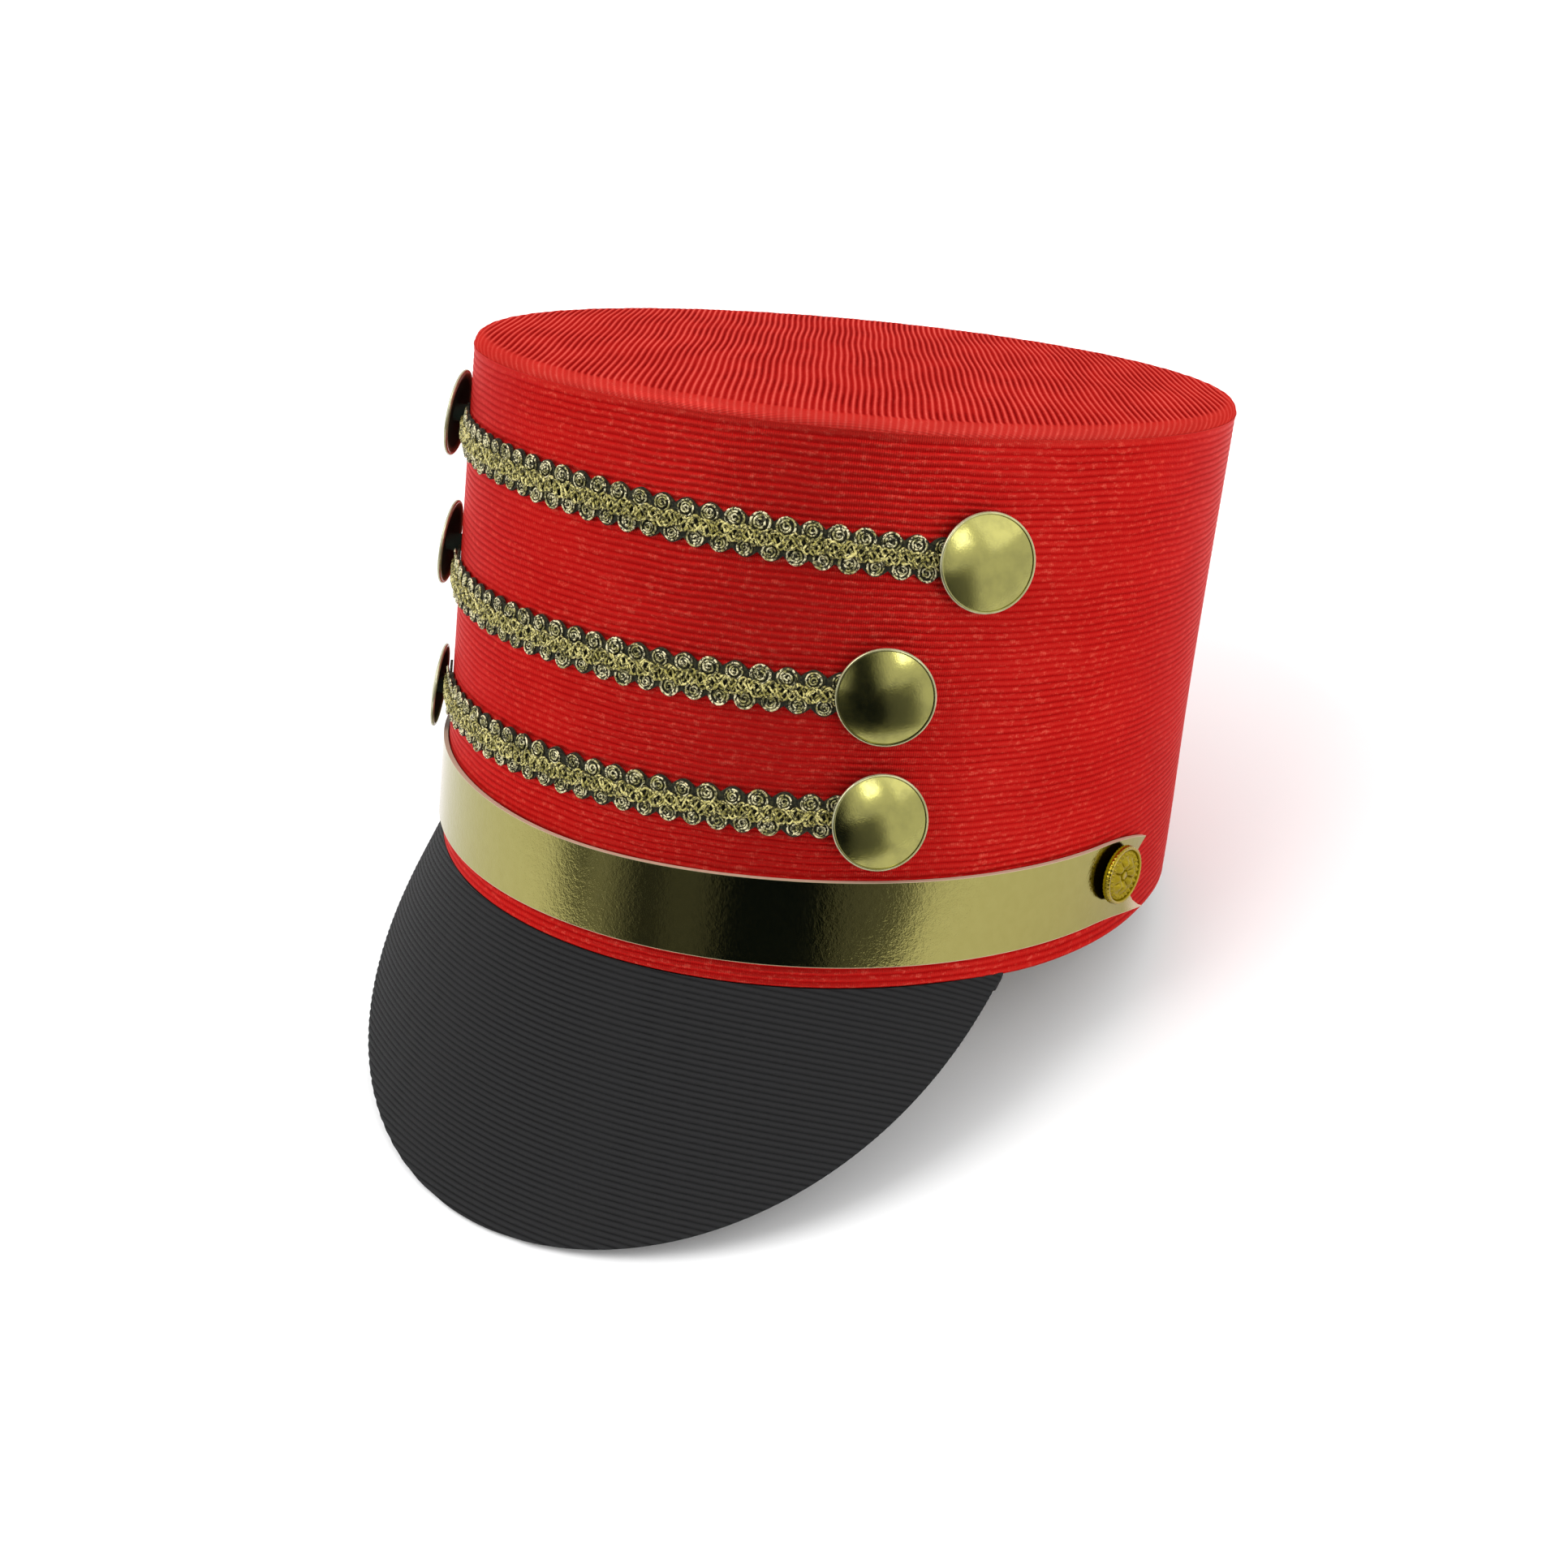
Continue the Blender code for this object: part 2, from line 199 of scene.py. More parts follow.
class Surface(Graph):
    """A material, started with a Principled shader, and the few patterns that the finishes share."""

    def __init__(self, name: str) -> None:
        """Make the material.

        Args:
            name: the material's name.
        """
        self.material = bpy.data.materials.new(name)
        self.material.use_nodes = True
        super().__init__(self.material.node_tree)
        self.shader = self.tree.nodes["Principled BSDF"]

    def paint(self, **values: Any) -> None:
        """Set or feed the shader's sockets, named with underscores for spaces."""
        for key, value in values.items():
            self.feed(self.shader.inputs[key.replace("_", " ")], value)

    def place(self) -> Wire:
        """Object coordinates, in metres."""
        return self.node("ShaderNodeTexCoord", output="Object")

    def weave(self) -> tuple[Wire, Wire]:
        """The cloth's own two directions, counted in ribs: along a rib, and across the ribs."""
        along = self.node("ShaderNodeSeparateXYZ", {}, {0: self.node("ShaderNodeUVMap", {"uv_map": UV_NAME})})
        return along, along.sibling("Y")

    def threads(self, along: Wire, per_rib: float) -> Wire:
        """The threads that cross a rib, from 0 between two of them to 1 on one."""
        return ((along * (2 * math.pi * per_rib)).sine() + 1.0) * 0.5

    def vector(self, x: Value, y: Value, z: Value = 0.0) -> Wire:
        """A vector of three numbers."""
        return self.node("ShaderNodeCombineXYZ", {}, {0: x, 1: y, 2: z})

    def noise(self, vector: Wire, scale: float, detail: float = 2.0, rough: float = 0.5) -> Wire:
        """A soft random value from 0 to 1 over this vector."""
        inputs = {"Vector": vector, "Scale": scale, "Detail": detail, "Roughness": rough}
        return self.node("ShaderNodeTexNoise", {}, inputs)

    def blend(self, share: Value, first: Any, second: Any) -> Wire:
        """The first colour where the share is 0, the second where it is 1, and a mixture between."""
        return self.node("ShaderNodeMix", {"data_type": "RGBA"}, {0: share, 6: first, 7: second}, 2)

    def bump(self, height: Wire, depth: float, strength: float) -> Wire:
        """The normal of a pattern from 0 to 1, whose 1 stands this depth in metres above its 0."""
        inputs = {"Height": height, "Distance": depth, "Strength": strength}
        return self.node("ShaderNodeBump", {}, inputs, "Normal")

    def attribute(self, name: str) -> Wire:
        """A number that the piece's mesh carries."""
        return self.node("ShaderNodeAttribute", {"attribute_name": name}, output="Fac")


class Finish:
    """What a piece looks like. Each finish paints a material in its own way."""

    def material(self, name: str) -> bpy.types.Material:
        """Build the finish.

        Args:
            name: the material's name.

        Returns:
            The material.
        """
        made = Surface(name)
        self._paint(made)
        return made.material

    def _paint(self, made: Surface) -> None:
        """Set and feed the shader of this surface."""
        raise NotImplementedError


def shade(colour: Colour, tone: float) -> Colour:
    """The same colour, with every part multiplied by a tone."""
    return tuple(tone * part for part in colour)


@dataclass(frozen=True)
class RibbedSatin(Finish):
    """Shiny ribbed satin on a stiff tan backing, with painted shade in its grooves and painted glints and
    highlights along its ribs.
    """

    crest: Colour = (0.445, 0.008, 0.007)
    groove_shade: Colour = (0.270, 0.003, 0.003)
    highlight_colour: Colour = (0.950, 0.200, 0.130)
    backing: Colour = (0.420, 0.330, 0.230)
    sheen: Colour = (1.0, 0.10, 0.08)
    sharpness: float = 0.8
    metallic: float = 0.55
    roughness: float = 0.32
    gloss: float = 0.03
    crest_highlight: float = 0.05
    glint: float = 0.38
    threads_per_rib: float = 3.0
    stretch: float = 0.85
    patch_fade: float = 0.45
    blotch_scale: float = 55.0
    blotch_share: float = 0.20
    blotch_tone: float = 0.75
    depth: float = 0.12 * MM

    def _paint(self, made: Surface) -> None:
        """Paint the ribs, with painted shade in the grooves that fades in random patches and where the cloth
        is stretched, and with painted glints, painted highlights on the crests and shoulder, and blotches.

        Args:
            made: the surface to paint.
        """
        along, across = made.weave()
        inside, edge = made.attribute("inside"), made.attribute("shoulder")
        crown = (across * math.pi).sine().size() ** self.sharpness
        glints = made.noise(made.vector(along * 0.8, across.floor() * 3.7, across * 1.4), 1.0, 3.0, 0.7)
        patch_noise = made.noise(made.vector(along * 0.05, across * 0.12), 1.0)
        blotch = made.noise(made.place(), self.blotch_scale).ramp(0.35, 0.65) * self.blotch_share
        thread = made.threads(along, self.threads_per_rib)
        # Painted shade: the grooves are darkened towards groove_shade. The shade fades in random patches and
        # on the stretched shoulder.
        shade_fade = self.stretch * edge + self.patch_fade * patch_noise.ramp(0.40, 0.62)
        body = made.blend(crown + (1.0 - crown) * shade_fade, self.groove_shade, self.crest)
        # Painted highlight: glints along the crests, highlights on the crest tops and a lighter shoulder are
        # blended towards highlight_colour through lift.
        lift = glints.ramp(0.50, 0.74) * (crown * 0.8 + 0.2) * (0.4 + 0.6 * thread) * self.glint
        lift = lift + 0.07 * edge + crown**4.0 * self.crest_highlight * (0.5 + patch_noise) * (1.0 - 0.6 * edge)
        cast = made.blend(blotch, made.blend(lift, body, self.highlight_colour), shade(self.crest, self.blotch_tone))
        made.paint(
            Specular_Tint=self.sheen,
            Specular_IOR_Level=self.gloss,
            Base_Color=made.blend(inside, cast, self.backing),
            Metallic=self.metallic * (1.0 - inside),
            Roughness=self.roughness + 0.14 * (1.0 - crown) - 0.06 * lift + 0.4 * inside,
            Normal=made.bump(thread * 0.30 + glints * 0.8, self.depth, 0.7),
        )


@dataclass(frozen=True)
class RibbedCloth(Finish):
    """Dull charcoal ribbed cloth over a stiff board."""

    crest: Colour = (0.0232, 0.0232, 0.0238)
    groove_shade: Colour = (0.0090, 0.0090, 0.0092)
    fleck: Colour = (0.021, 0.021, 0.022)
    sharpness: float = 0.8
    roughness: float = 0.50
    gloss: float = 0.05
    threads_per_rib: float = 7.0
    depth: float = 0.10 * MM

    def _paint(self, made: Surface) -> None:
        """Paint the ribs, with painted shade in the grooves and flecks along them.

        Args:
            made: the surface to paint.
        """
        along, across = made.weave()
        crown = (across * math.pi).sine().size()
        fleck = made.noise(made.vector(along * 0.5, across.floor() * 3.1, across * 0.5), 1.0, 3.0, 0.6)
        # Painted shade: the grooves are darkened towards groove_shade.
        body = made.blend(crown**self.sharpness, self.groove_shade, self.crest)
        made.paint(
            Specular_IOR_Level=self.gloss,
            Base_Color=made.blend(fleck.ramp(0.45, 0.80) * 0.35, body, self.fleck),
            Roughness=self.roughness + 0.12 * (1.0 - crown),
            Normal=made.bump(made.threads(along, self.threads_per_rib) * 0.5 + fleck * 0.7, self.depth, 0.7),
        )


@dataclass(frozen=True)
class Foil(Finish):
    """Glossy metallised foil with a fine grain, and pale raw edges where it was cut."""

    colour: Colour = (0.290, 0.262, 0.085)
    mottle: Colour = (0.240, 0.215, 0.062)
    raw: Colour = (0.520, 0.400, 0.290)
    roughness: float = 0.07
    grain_scale: float = 2600.0
    grain: float = 0.40
    speck_scale: float = 900.0
    speck: float = 0.60
    wave_scale: float = 45.0
    wave: float = 1.4
    mottle_scale: float = 420.0
    depth: float = 0.10 * MM

    def _paint(self, made: Surface) -> None:
        """Paint the foil, whose relief is a fine grain, specks and slow waves.

        Args:
            made: the surface to paint.
        """
        edge, place = made.attribute("edge"), made.place()
        grain = made.noise(place, self.grain_scale, 2.0, 0.6)
        wave = made.noise(place, self.wave_scale, 1.0)
        speck = made.noise(place, self.speck_scale)
        mottle = made.noise(place, self.mottle_scale).ramp(0.3, 0.7) * 0.25
        relief = grain * self.grain + speck * self.speck + wave * self.wave
        made.paint(
            Base_Color=made.blend(edge, made.blend(mottle, self.colour, self.mottle), self.raw),
            Metallic=1.0 - 0.8 * edge,
            Roughness=self.roughness + 0.06 * grain + 0.4 * edge,
            Normal=made.bump(relief, self.depth, 0.6),
        )


@dataclass(frozen=True)
class PressedMetal(Finish):
    """Plated sheet metal with faint haze, a rim painted paler as a highlight, and hollows painted dark as
    shade.
    """

    colour: Colour = (0.300, 0.282, 0.075)
    rim: Colour = (0.500, 0.490, 0.340)
    shaded_hollow: Colour = (0.045, 0.066, 0.052)
    roughness: float = 0.14
    coat: float = 0.45
    coat_roughness: float = 0.12
    haze_scale: float = 260.0
    haze_share: float = 0.45
    haze_tone: float = 0.6
    grain_scale: float = 3000.0
    depth: float = 0.06 * MM

    def _paint(self, made: Surface) -> None:
        """Paint the plating, the rim's painted highlight and the painted shade in the hollows.

        Args:
            made: the surface to paint.
        """
        place = made.place()
        haze = made.noise(place, self.haze_scale, 3.0, 0.6)
        grain = made.noise(place, self.grain_scale, 1.0)
        crease, rim = made.attribute("crease"), made.attribute("rim")
        # Painted shade: where crease is high, the colour goes to shaded_hollow and the metal's gloss and coat
        # are taken away.
        hazy, unshaded = haze.ramp(0.35, 0.70), 1.0 - crease.ramp(0.02, 0.18)
        # Painted highlight: the rolled rim, and the shell's inside where its painted shade is light, are
        # painted a paler, less metallic colour.
        plate = made.blend(rim, self.colour, self.rim)
        tinted = made.blend(hazy * self.haze_share, plate, shade(self.colour, self.haze_tone))
        made.paint(
            Specular_IOR_Level=0.0,
            Coat_Roughness=self.coat_roughness,
            Base_Color=made.blend(crease, tinted, self.shaded_hollow),
            Metallic=unshaded * (1.0 - 0.5 * rim),
            Coat_Weight=self.coat * unshaded,
            Roughness=self.roughness + 0.08 * hazy + 0.04 * grain + 0.40 * crease,
            Normal=made.bump(haze + grain * 0.3, self.depth, 0.5),
        )


@dataclass(frozen=True)
class MetallicThread(Finish):
    """Twisted thread wound with metal tinsel: beads painted near white as glints, over a dark core."""

    bead_glint: Colour = (0.970, 0.900, 0.560)
    dark: Colour = (0.026, 0.024, 0.008)
    tone: Colour = (0.400, 0.365, 0.130)
    metallic: float = 0.25
    roughness: float = 0.34
    bead_scale: float = 1900.0
    tone_scale: float = 600.0
    depth: float = 0.22 * MM

    def _paint(self, made: Surface) -> None:
        """Paint the beads in two tones, with painted glints, over their core.

        Args:
            made: the surface to paint.
        """
        beads = made.noise(made.place(), self.bead_scale, 2.0, 0.6)
        tone = made.noise(made.place(), self.tone_scale, 1.0)
        # Painted highlight: the beads' noise paints the tinsel near white, as glints, over the dark core.
        share = beads.ramp(0.43, 0.56)
        tinsel = made.blend(tone.ramp(0.38, 0.62), self.bead_glint, self.tone)
        made.paint(
            Metallic=self.metallic,
            Base_Color=made.blend(share, self.dark, tinsel),
            Roughness=self.roughness + 0.25 * (1.0 - share),
            Normal=made.bump(beads, self.depth, 0.9),
        )


@dataclass(frozen=True)
class BackingAndShade(Finish):
    """The near-black net that the braid's threads are wound on, which also stands for the shade between them.
    """

    colour: Colour = (0.007, 0.008, 0.004)
    lit: Colour = (0.045, 0.043, 0.018)
    gloss: float = 0.3
    knit_scale: float = 1800.0
    depth: float = 0.20 * MM

    def _paint(self, made: Surface) -> None:
        """Paint the knit.

        Args:
            made: the surface to paint.
        """
        knit = made.noise(made.place(), self.knit_scale)
        made.paint(
            Specular_IOR_Level=self.gloss,
            Base_Color=made.blend(knit.ramp(0.4, 0.7), self.colour, self.lit),
            Roughness=0.7 + 0.2 * knit,
            Normal=made.bump(knit, self.depth, 0.8),
        )


@dataclass(frozen=True)
class Paper(Finish):
    """Matt studio paper or cloth, of one tone with a barely seen mottle."""

    tone: float

    def _paint(self, made: Surface) -> None:
        """Paint the paper.

        Args:
            made: the surface to paint.
        """
        mottle = made.noise(made.place(), 6.0)
        low, high = (self.tone * 0.99,) * 3, (self.tone,) * 3
        colour = made.blend(mottle, low, high)
        made.paint(Specular_IOR_Level=0.1, Base_Color=colour, Roughness=0.9 + 0.05 * mottle)


@dataclass(frozen=True)
class Felt(Finish):
    """Matt felt that goes from nearly black to pale, as the fade that its points carry says."""

    dark: Colour = (0.006, 0.009, 0.016)
    pale: Colour = (0.850, 0.850, 0.850)

    def _paint(self, made: Surface) -> None:
        """Paint the felt.

        Args:
            made: the surface to paint.
        """
        colour = made.blend(made.attribute("fade"), self.dark, self.pale)
        nap = made.noise(made.place(), 60.0)
        made.paint(Specular_IOR_Level=0.0, Base_Color=colour, Roughness=0.9 + 0.05 * nap)


def moved(points: np.ndarray, matrix: Matrix) -> np.ndarray:
    """These points, turned and shifted by a matrix."""
    return points @ np.array(matrix.to_3x3()).T + np.array(matrix.translation)


def smooth_step(value: np.ndarray, low: float, high: float) -> np.ndarray:
    """A smooth step of this value, from 0 at low to 1 at high."""
    share = np.clip((value - low) / (high - low), 0.0, 1.0)
    return share * share * (3.0 - 2.0 * share)


def ridge(phase: np.ndarray, relief: float) -> np.ndarray:
    """Height of round crests between narrow grooves, about its mean, at a phase counted in ribs."""
    return relief * (np.abs(np.sin(np.pi * phase)) ** 0.9 - 0.62)


class Skin:
    """Points, faces and weave coordinates of one piece, gathered strip by strip and then made a mesh."""

    CORNERS = (np.s_[:-1, :-1], np.s_[1:, :-1], np.s_[1:, 1:], np.s_[:-1, 1:])

    def __init__(self) -> None:
        """Start empty."""
        self.points: list[np.ndarray] = []
        self.values: dict[str, list[np.ndarray]] = {}
        self.faces: list[tuple[int, ...]] = []
        self.charts: list[tuple[tuple[float, float], ...]] = []
        self.count = 0

    def add(self, points: np.ndarray, **values: Any) -> np.ndarray:
        """Add points of any grid shape.

        Args:
            points: array whose last axis holds x, y and z.
            values: a number or an array of numbers for each of the mesh's attributes.

        Returns:
            The points' numbers, in the grid's shape.
        """
        shape = points.shape[:-1]
        size = int(np.prod(shape))
        self.points.append(points.reshape(size, 3))
        for name in dict.fromkeys((*self.values, *values)):
            past = self.values.setdefault(name, [np.zeros(self.count)] if self.count else [])
            past.append(np.broadcast_to(values.get(name, 0.0), shape).reshape(size).astype(float))
        numbers = np.arange(self.count, self.count + size).reshape(shape)
        self.count += size
        return numbers

    def quads(self, numbers: np.ndarray, chart: Optional[np.ndarray] = None) -> None:
        """Fill a grid of points with faces, which have three sides where two corners are one point.

        Args:
            numbers: the points' numbers, in rows and columns.
            chart: weave coordinates of the same grid, where a weave shows.
        """
        if chart is None:
            chart = np.zeros((*numbers.shape, 2))
        faces = np.stack([numbers[corner].ravel() for corner in self.CORNERS], axis=-1)
        uvs = np.stack([chart[corner].reshape(-1, 2) for corner in self.CORNERS], axis=1)
        for face, uv in zip(faces.tolist(), uvs.tolist()):
            kept = [k for k in range(4) if face[k] not in face[:k]]
            if len(kept) > 2:
                self.faces.append(tuple(face[k] for k in kept))
                self.charts.append(tuple(tuple(uv[k]) for k in kept))

    def join(self, *grids: np.ndarray) -> None:
        """Close the cut between the outer edges of two grids of one shape."""
        rings = [np.concatenate([g[:, 0], g[-1, 1:-1], g[::-1, -1], g[0, -2:0:-1]]) for g in grids]
        self.quads(np.pad(np.stack(rings), ((0, 0), (0, 1)), mode="wrap"))

    def mesh(self, name: str, place: Matrix, sharp: float = 50.0) -> bpy.types.Mesh:
        """Make the mesh, in the world's frame and with its faces outwards.

        Args:
            name: the mesh's name.
            place: matrix from the points' frame to the world's.
            sharp: angle in degrees past which an edge stays sharp.

        Returns:
            The mesh.
        """
        made = bpy.data.meshes.new(name)
        made.from_pydata(moved(np.concatenate(self.points), place).tolist(), [], self.faces)
        layer = made.uv_layers.new(name=UV_NAME)
        flat = np.array([uv for chart in self.charts for uv in chart], dtype=np.float32)
        layer.data.foreach_set("uv", flat.ravel())
        for key, parts in self.values.items():
            carried = made.attributes.new(key, "FLOAT", "POINT")
            carried.data.foreach_set("value", np.concatenate(parts).astype(np.float32))
        bm = bmesh.new()
        bm.from_mesh(made)
        bmesh.ops.recalc_face_normals(bm, faces=bm.faces)
        bm.to_mesh(made)
        bm.free()
        made.shade_smooth()
        made.set_sharp_from_angle(angle=math.radians(sharp))
        return made


def add_piece(
    name: str, mesh: bpy.types.Mesh, material: Optional[bpy.types.Material] = None
) -> bpy.types.Object:
    """Put a mesh in the scene as a named object.

    Args:
        name: the object's name.
        mesh: its mesh, in the world's frame.
        material: its finish, unless the mesh already has one.

    Returns:
        The object.
    """
    made = bpy.data.objects.new(name, mesh)
    if material is not None:
        mesh.materials.append(material)
    bpy.context.scene.collection.objects.link(made)
    return made


@dataclass(frozen=True)
class ButtonSpot:
    """A large button's place: angle from the front in degrees, height in metres, tilt and turn in degrees."""

    side: Side
    angle: float
    height: float
    tilt: float
    turn: float = 0.0


@dataclass(frozen=True)
class BraidRow:
    """One row of braid: its two buttons, and its height at its left end, the front and its right end."""

    left: ButtonSpot
    right: ButtonSpot
    left_braid: float
    front: float
    right_braid: float

    def height(self, angle: np.ndarray) -> np.ndarray:
        """Height of the centre line, on the parabola through the row's three heights.

        Args:
            angle: angles from the front, in radians.

        Returns:
            Heights above the rim.
        """
        left, right = math.radians(self.left.angle), math.radians(self.right.angle)
        to_left = angle * (angle - right) / (left * (left - right))
        to_front = (angle - left) * (angle - right) / (left * right)
        to_right = angle * (angle - left) / (right * (right - left))
        return self.left_braid * to_left + self.front * to_front + self.right_braid * to_right


@dataclass(frozen=True)
class HatForm:
    """The hat's driving sizes, in metres, and the surfaces that they give."""

    rim_radius: float = 0.0850
    top_radius: float = 0.0846
    crown_height: float = 0.1107
    top_shift: float = 0.0118
    top_slope: float = -0.069
    wall: float = 0.0020
    seam_drop: float = 0.0024
    top_round: float = 0.0022
    gap: float = 0.0003
    visor_length: float = 0.0625
    visor_half_angle: float = math.radians(68.5)
    visor_fullness: float = 1.075
    visor_droop: float = math.radians(66.0)
    visor_droop_at_ends: float = math.radians(62.5)
    visor_thick: float = 0.0020

    def radius(self, height: np.ndarray) -> np.ndarray:
        """Radius of the crown's outside at a height above the rim."""
        return self.rim_radius + (self.top_radius - self.rim_radius) * height / self.crown_height

    def lean_back(self, x: np.ndarray, y: np.ndarray, z: np.ndarray) -> np.ndarray:
        """Move points of an upright crown to where its lean and its sloping top put them.

        Args:
            x: distances to the right.
            y: distances to the back.
            z: heights above the rim.

        Returns:
            The moved points.
        """
        share = z / self.crown_height
        moved = y + self.top_shift * share
        return np.stack(np.broadcast_arrays(x, moved, z + self.top_slope * share * moved), axis=-1)

    def crown(self, angle: np.ndarray, height: np.ndarray, out: Union[float, np.ndarray] = 0.0) -> np.ndarray:
        """Points on the crown's outside, or that far off it.

        Args:
            angle: angles from the front, -Y, towards +X, in radians.
            height: heights above the rim.
            out: distance outwards from the surface.

        Returns:
            The points.
        """
        radius = self.radius(height) + out
        return self.lean_back(radius * np.sin(angle), -radius * np.cos(angle), height)

    def crown_frame(self, angle: float, height: float, out: float = 0.0) -> Matrix:
        """The matrix that stands a piece on the crown, with its own Z pointing off the surface.

        Args:
            angle: angle from the front, in radians.
            height: height above the rim.
            out: distance off the surface.

        Returns:
            The matrix, in the hat's own frame.
        """
        step = 1e-3
        here = Vector(self.crown(angle, height, out))
        along = (Vector(self.crown(angle + step, height, out)) - here).normalized()
        up = (Vector(self.crown(angle, height + step * self.rim_radius, out)) - here).normalized()
        normal = along.cross(up).normalized()
        up = normal.cross(along)
        return Matrix.Translation(here) @ Matrix((along, up, normal)).transposed().to_4x4()

    def lean(self) -> float:
        """Lean of the hat where it rests on the visor's tip and the back of the rim.

        Returns:
            The angle in radians, negative as it leans back.
        """
        run, fall = math.cos(self.visor_droop), math.sin(self.visor_droop)
        half = self.visor_thick / 2
        reach = 2 * self.rim_radius + self.visor_length * run - half * fall
        return -math.atan2(self.visor_length * fall + half * run, reach)

    def place(self) -> Matrix:
        """The matrix from the hat's own frame to the world's, read from where the crown's wall was packed.

        Returns:
            The matrix.
        """
        turn = Matrix.Rotation(self.lean(), 4, "X")
        low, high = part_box("crown_wall")
        top = self.crown_height - self.seam_drop - self.gap
        angle = np.radians(np.arange(0, 360, 3.75))
        rings = [self.crown(angle, level, out) for level in (0.0, top) for out in (0.0, -self.wall)]
        points = moved(np.concatenate(rings), turn)
        middle = Vector((points.min(0) + points.max(0)) / 2)
        return Matrix.Translation((low + high) / 2 - middle) @ turn


FORM = HatForm()
ROWS = (
    BraidRow(
        left=ButtonSpot(Side.LEFT, angle=-50.6, height=0.0918, tilt=6.0, turn=-8.0),
        right=ButtonSpot(Side.RIGHT, angle=54.8, height=0.0858, tilt=6.0),
        left_braid=0.0904,
        front=0.0891,
        right_braid=0.0850,
    ),
    BraidRow(
        left=ButtonSpot(Side.LEFT, angle=-50.8, height=0.0630, tilt=5.0, turn=-6.0),
        right=ButtonSpot(Side.RIGHT, angle=43.9, height=0.0598, tilt=0.0, turn=-5.0),
        left_braid=0.0590,
        front=0.0597,
        right_braid=0.0591,
    ),
    BraidRow(
        left=ButtonSpot(Side.LEFT, angle=-49.0, height=0.0308, tilt=4.0, turn=-3.0),
        right=ButtonSpot(Side.RIGHT, angle=45.3, height=0.0354, tilt=6.0, turn=5.0),
        left_braid=0.0334,
        front=0.0350,
        right_braid=0.0354,
    ),
)


@dataclass
class Part:
    """A sub-assembly, which knows the hat's form and the matrix that takes it to the world's frame."""

    form: HatForm
    place: Matrix

    def dress(
        self, name: str, mesh: bpy.types.Mesh, finish: Optional[bpy.types.Material], slot: str, node: str
    ) -> bpy.types.Object:
        """Put a piece in the scene, and fasten it to the hat's one body in place of its solid.

        Args:
            name: the piece's name.
            mesh: its mesh, in the world's frame.
            finish: its material, unless the mesh already has its own.
            slot: the record's material slot; not used.
            node: the CAD node that it covers.

        Returns:
            The piece.
        """
        piece = add_piece(name, mesh, finish)
        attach(piece, "root")
        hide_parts(node)
        log.info("%s: %d faces", name, len(mesh.polygons))
        return piece


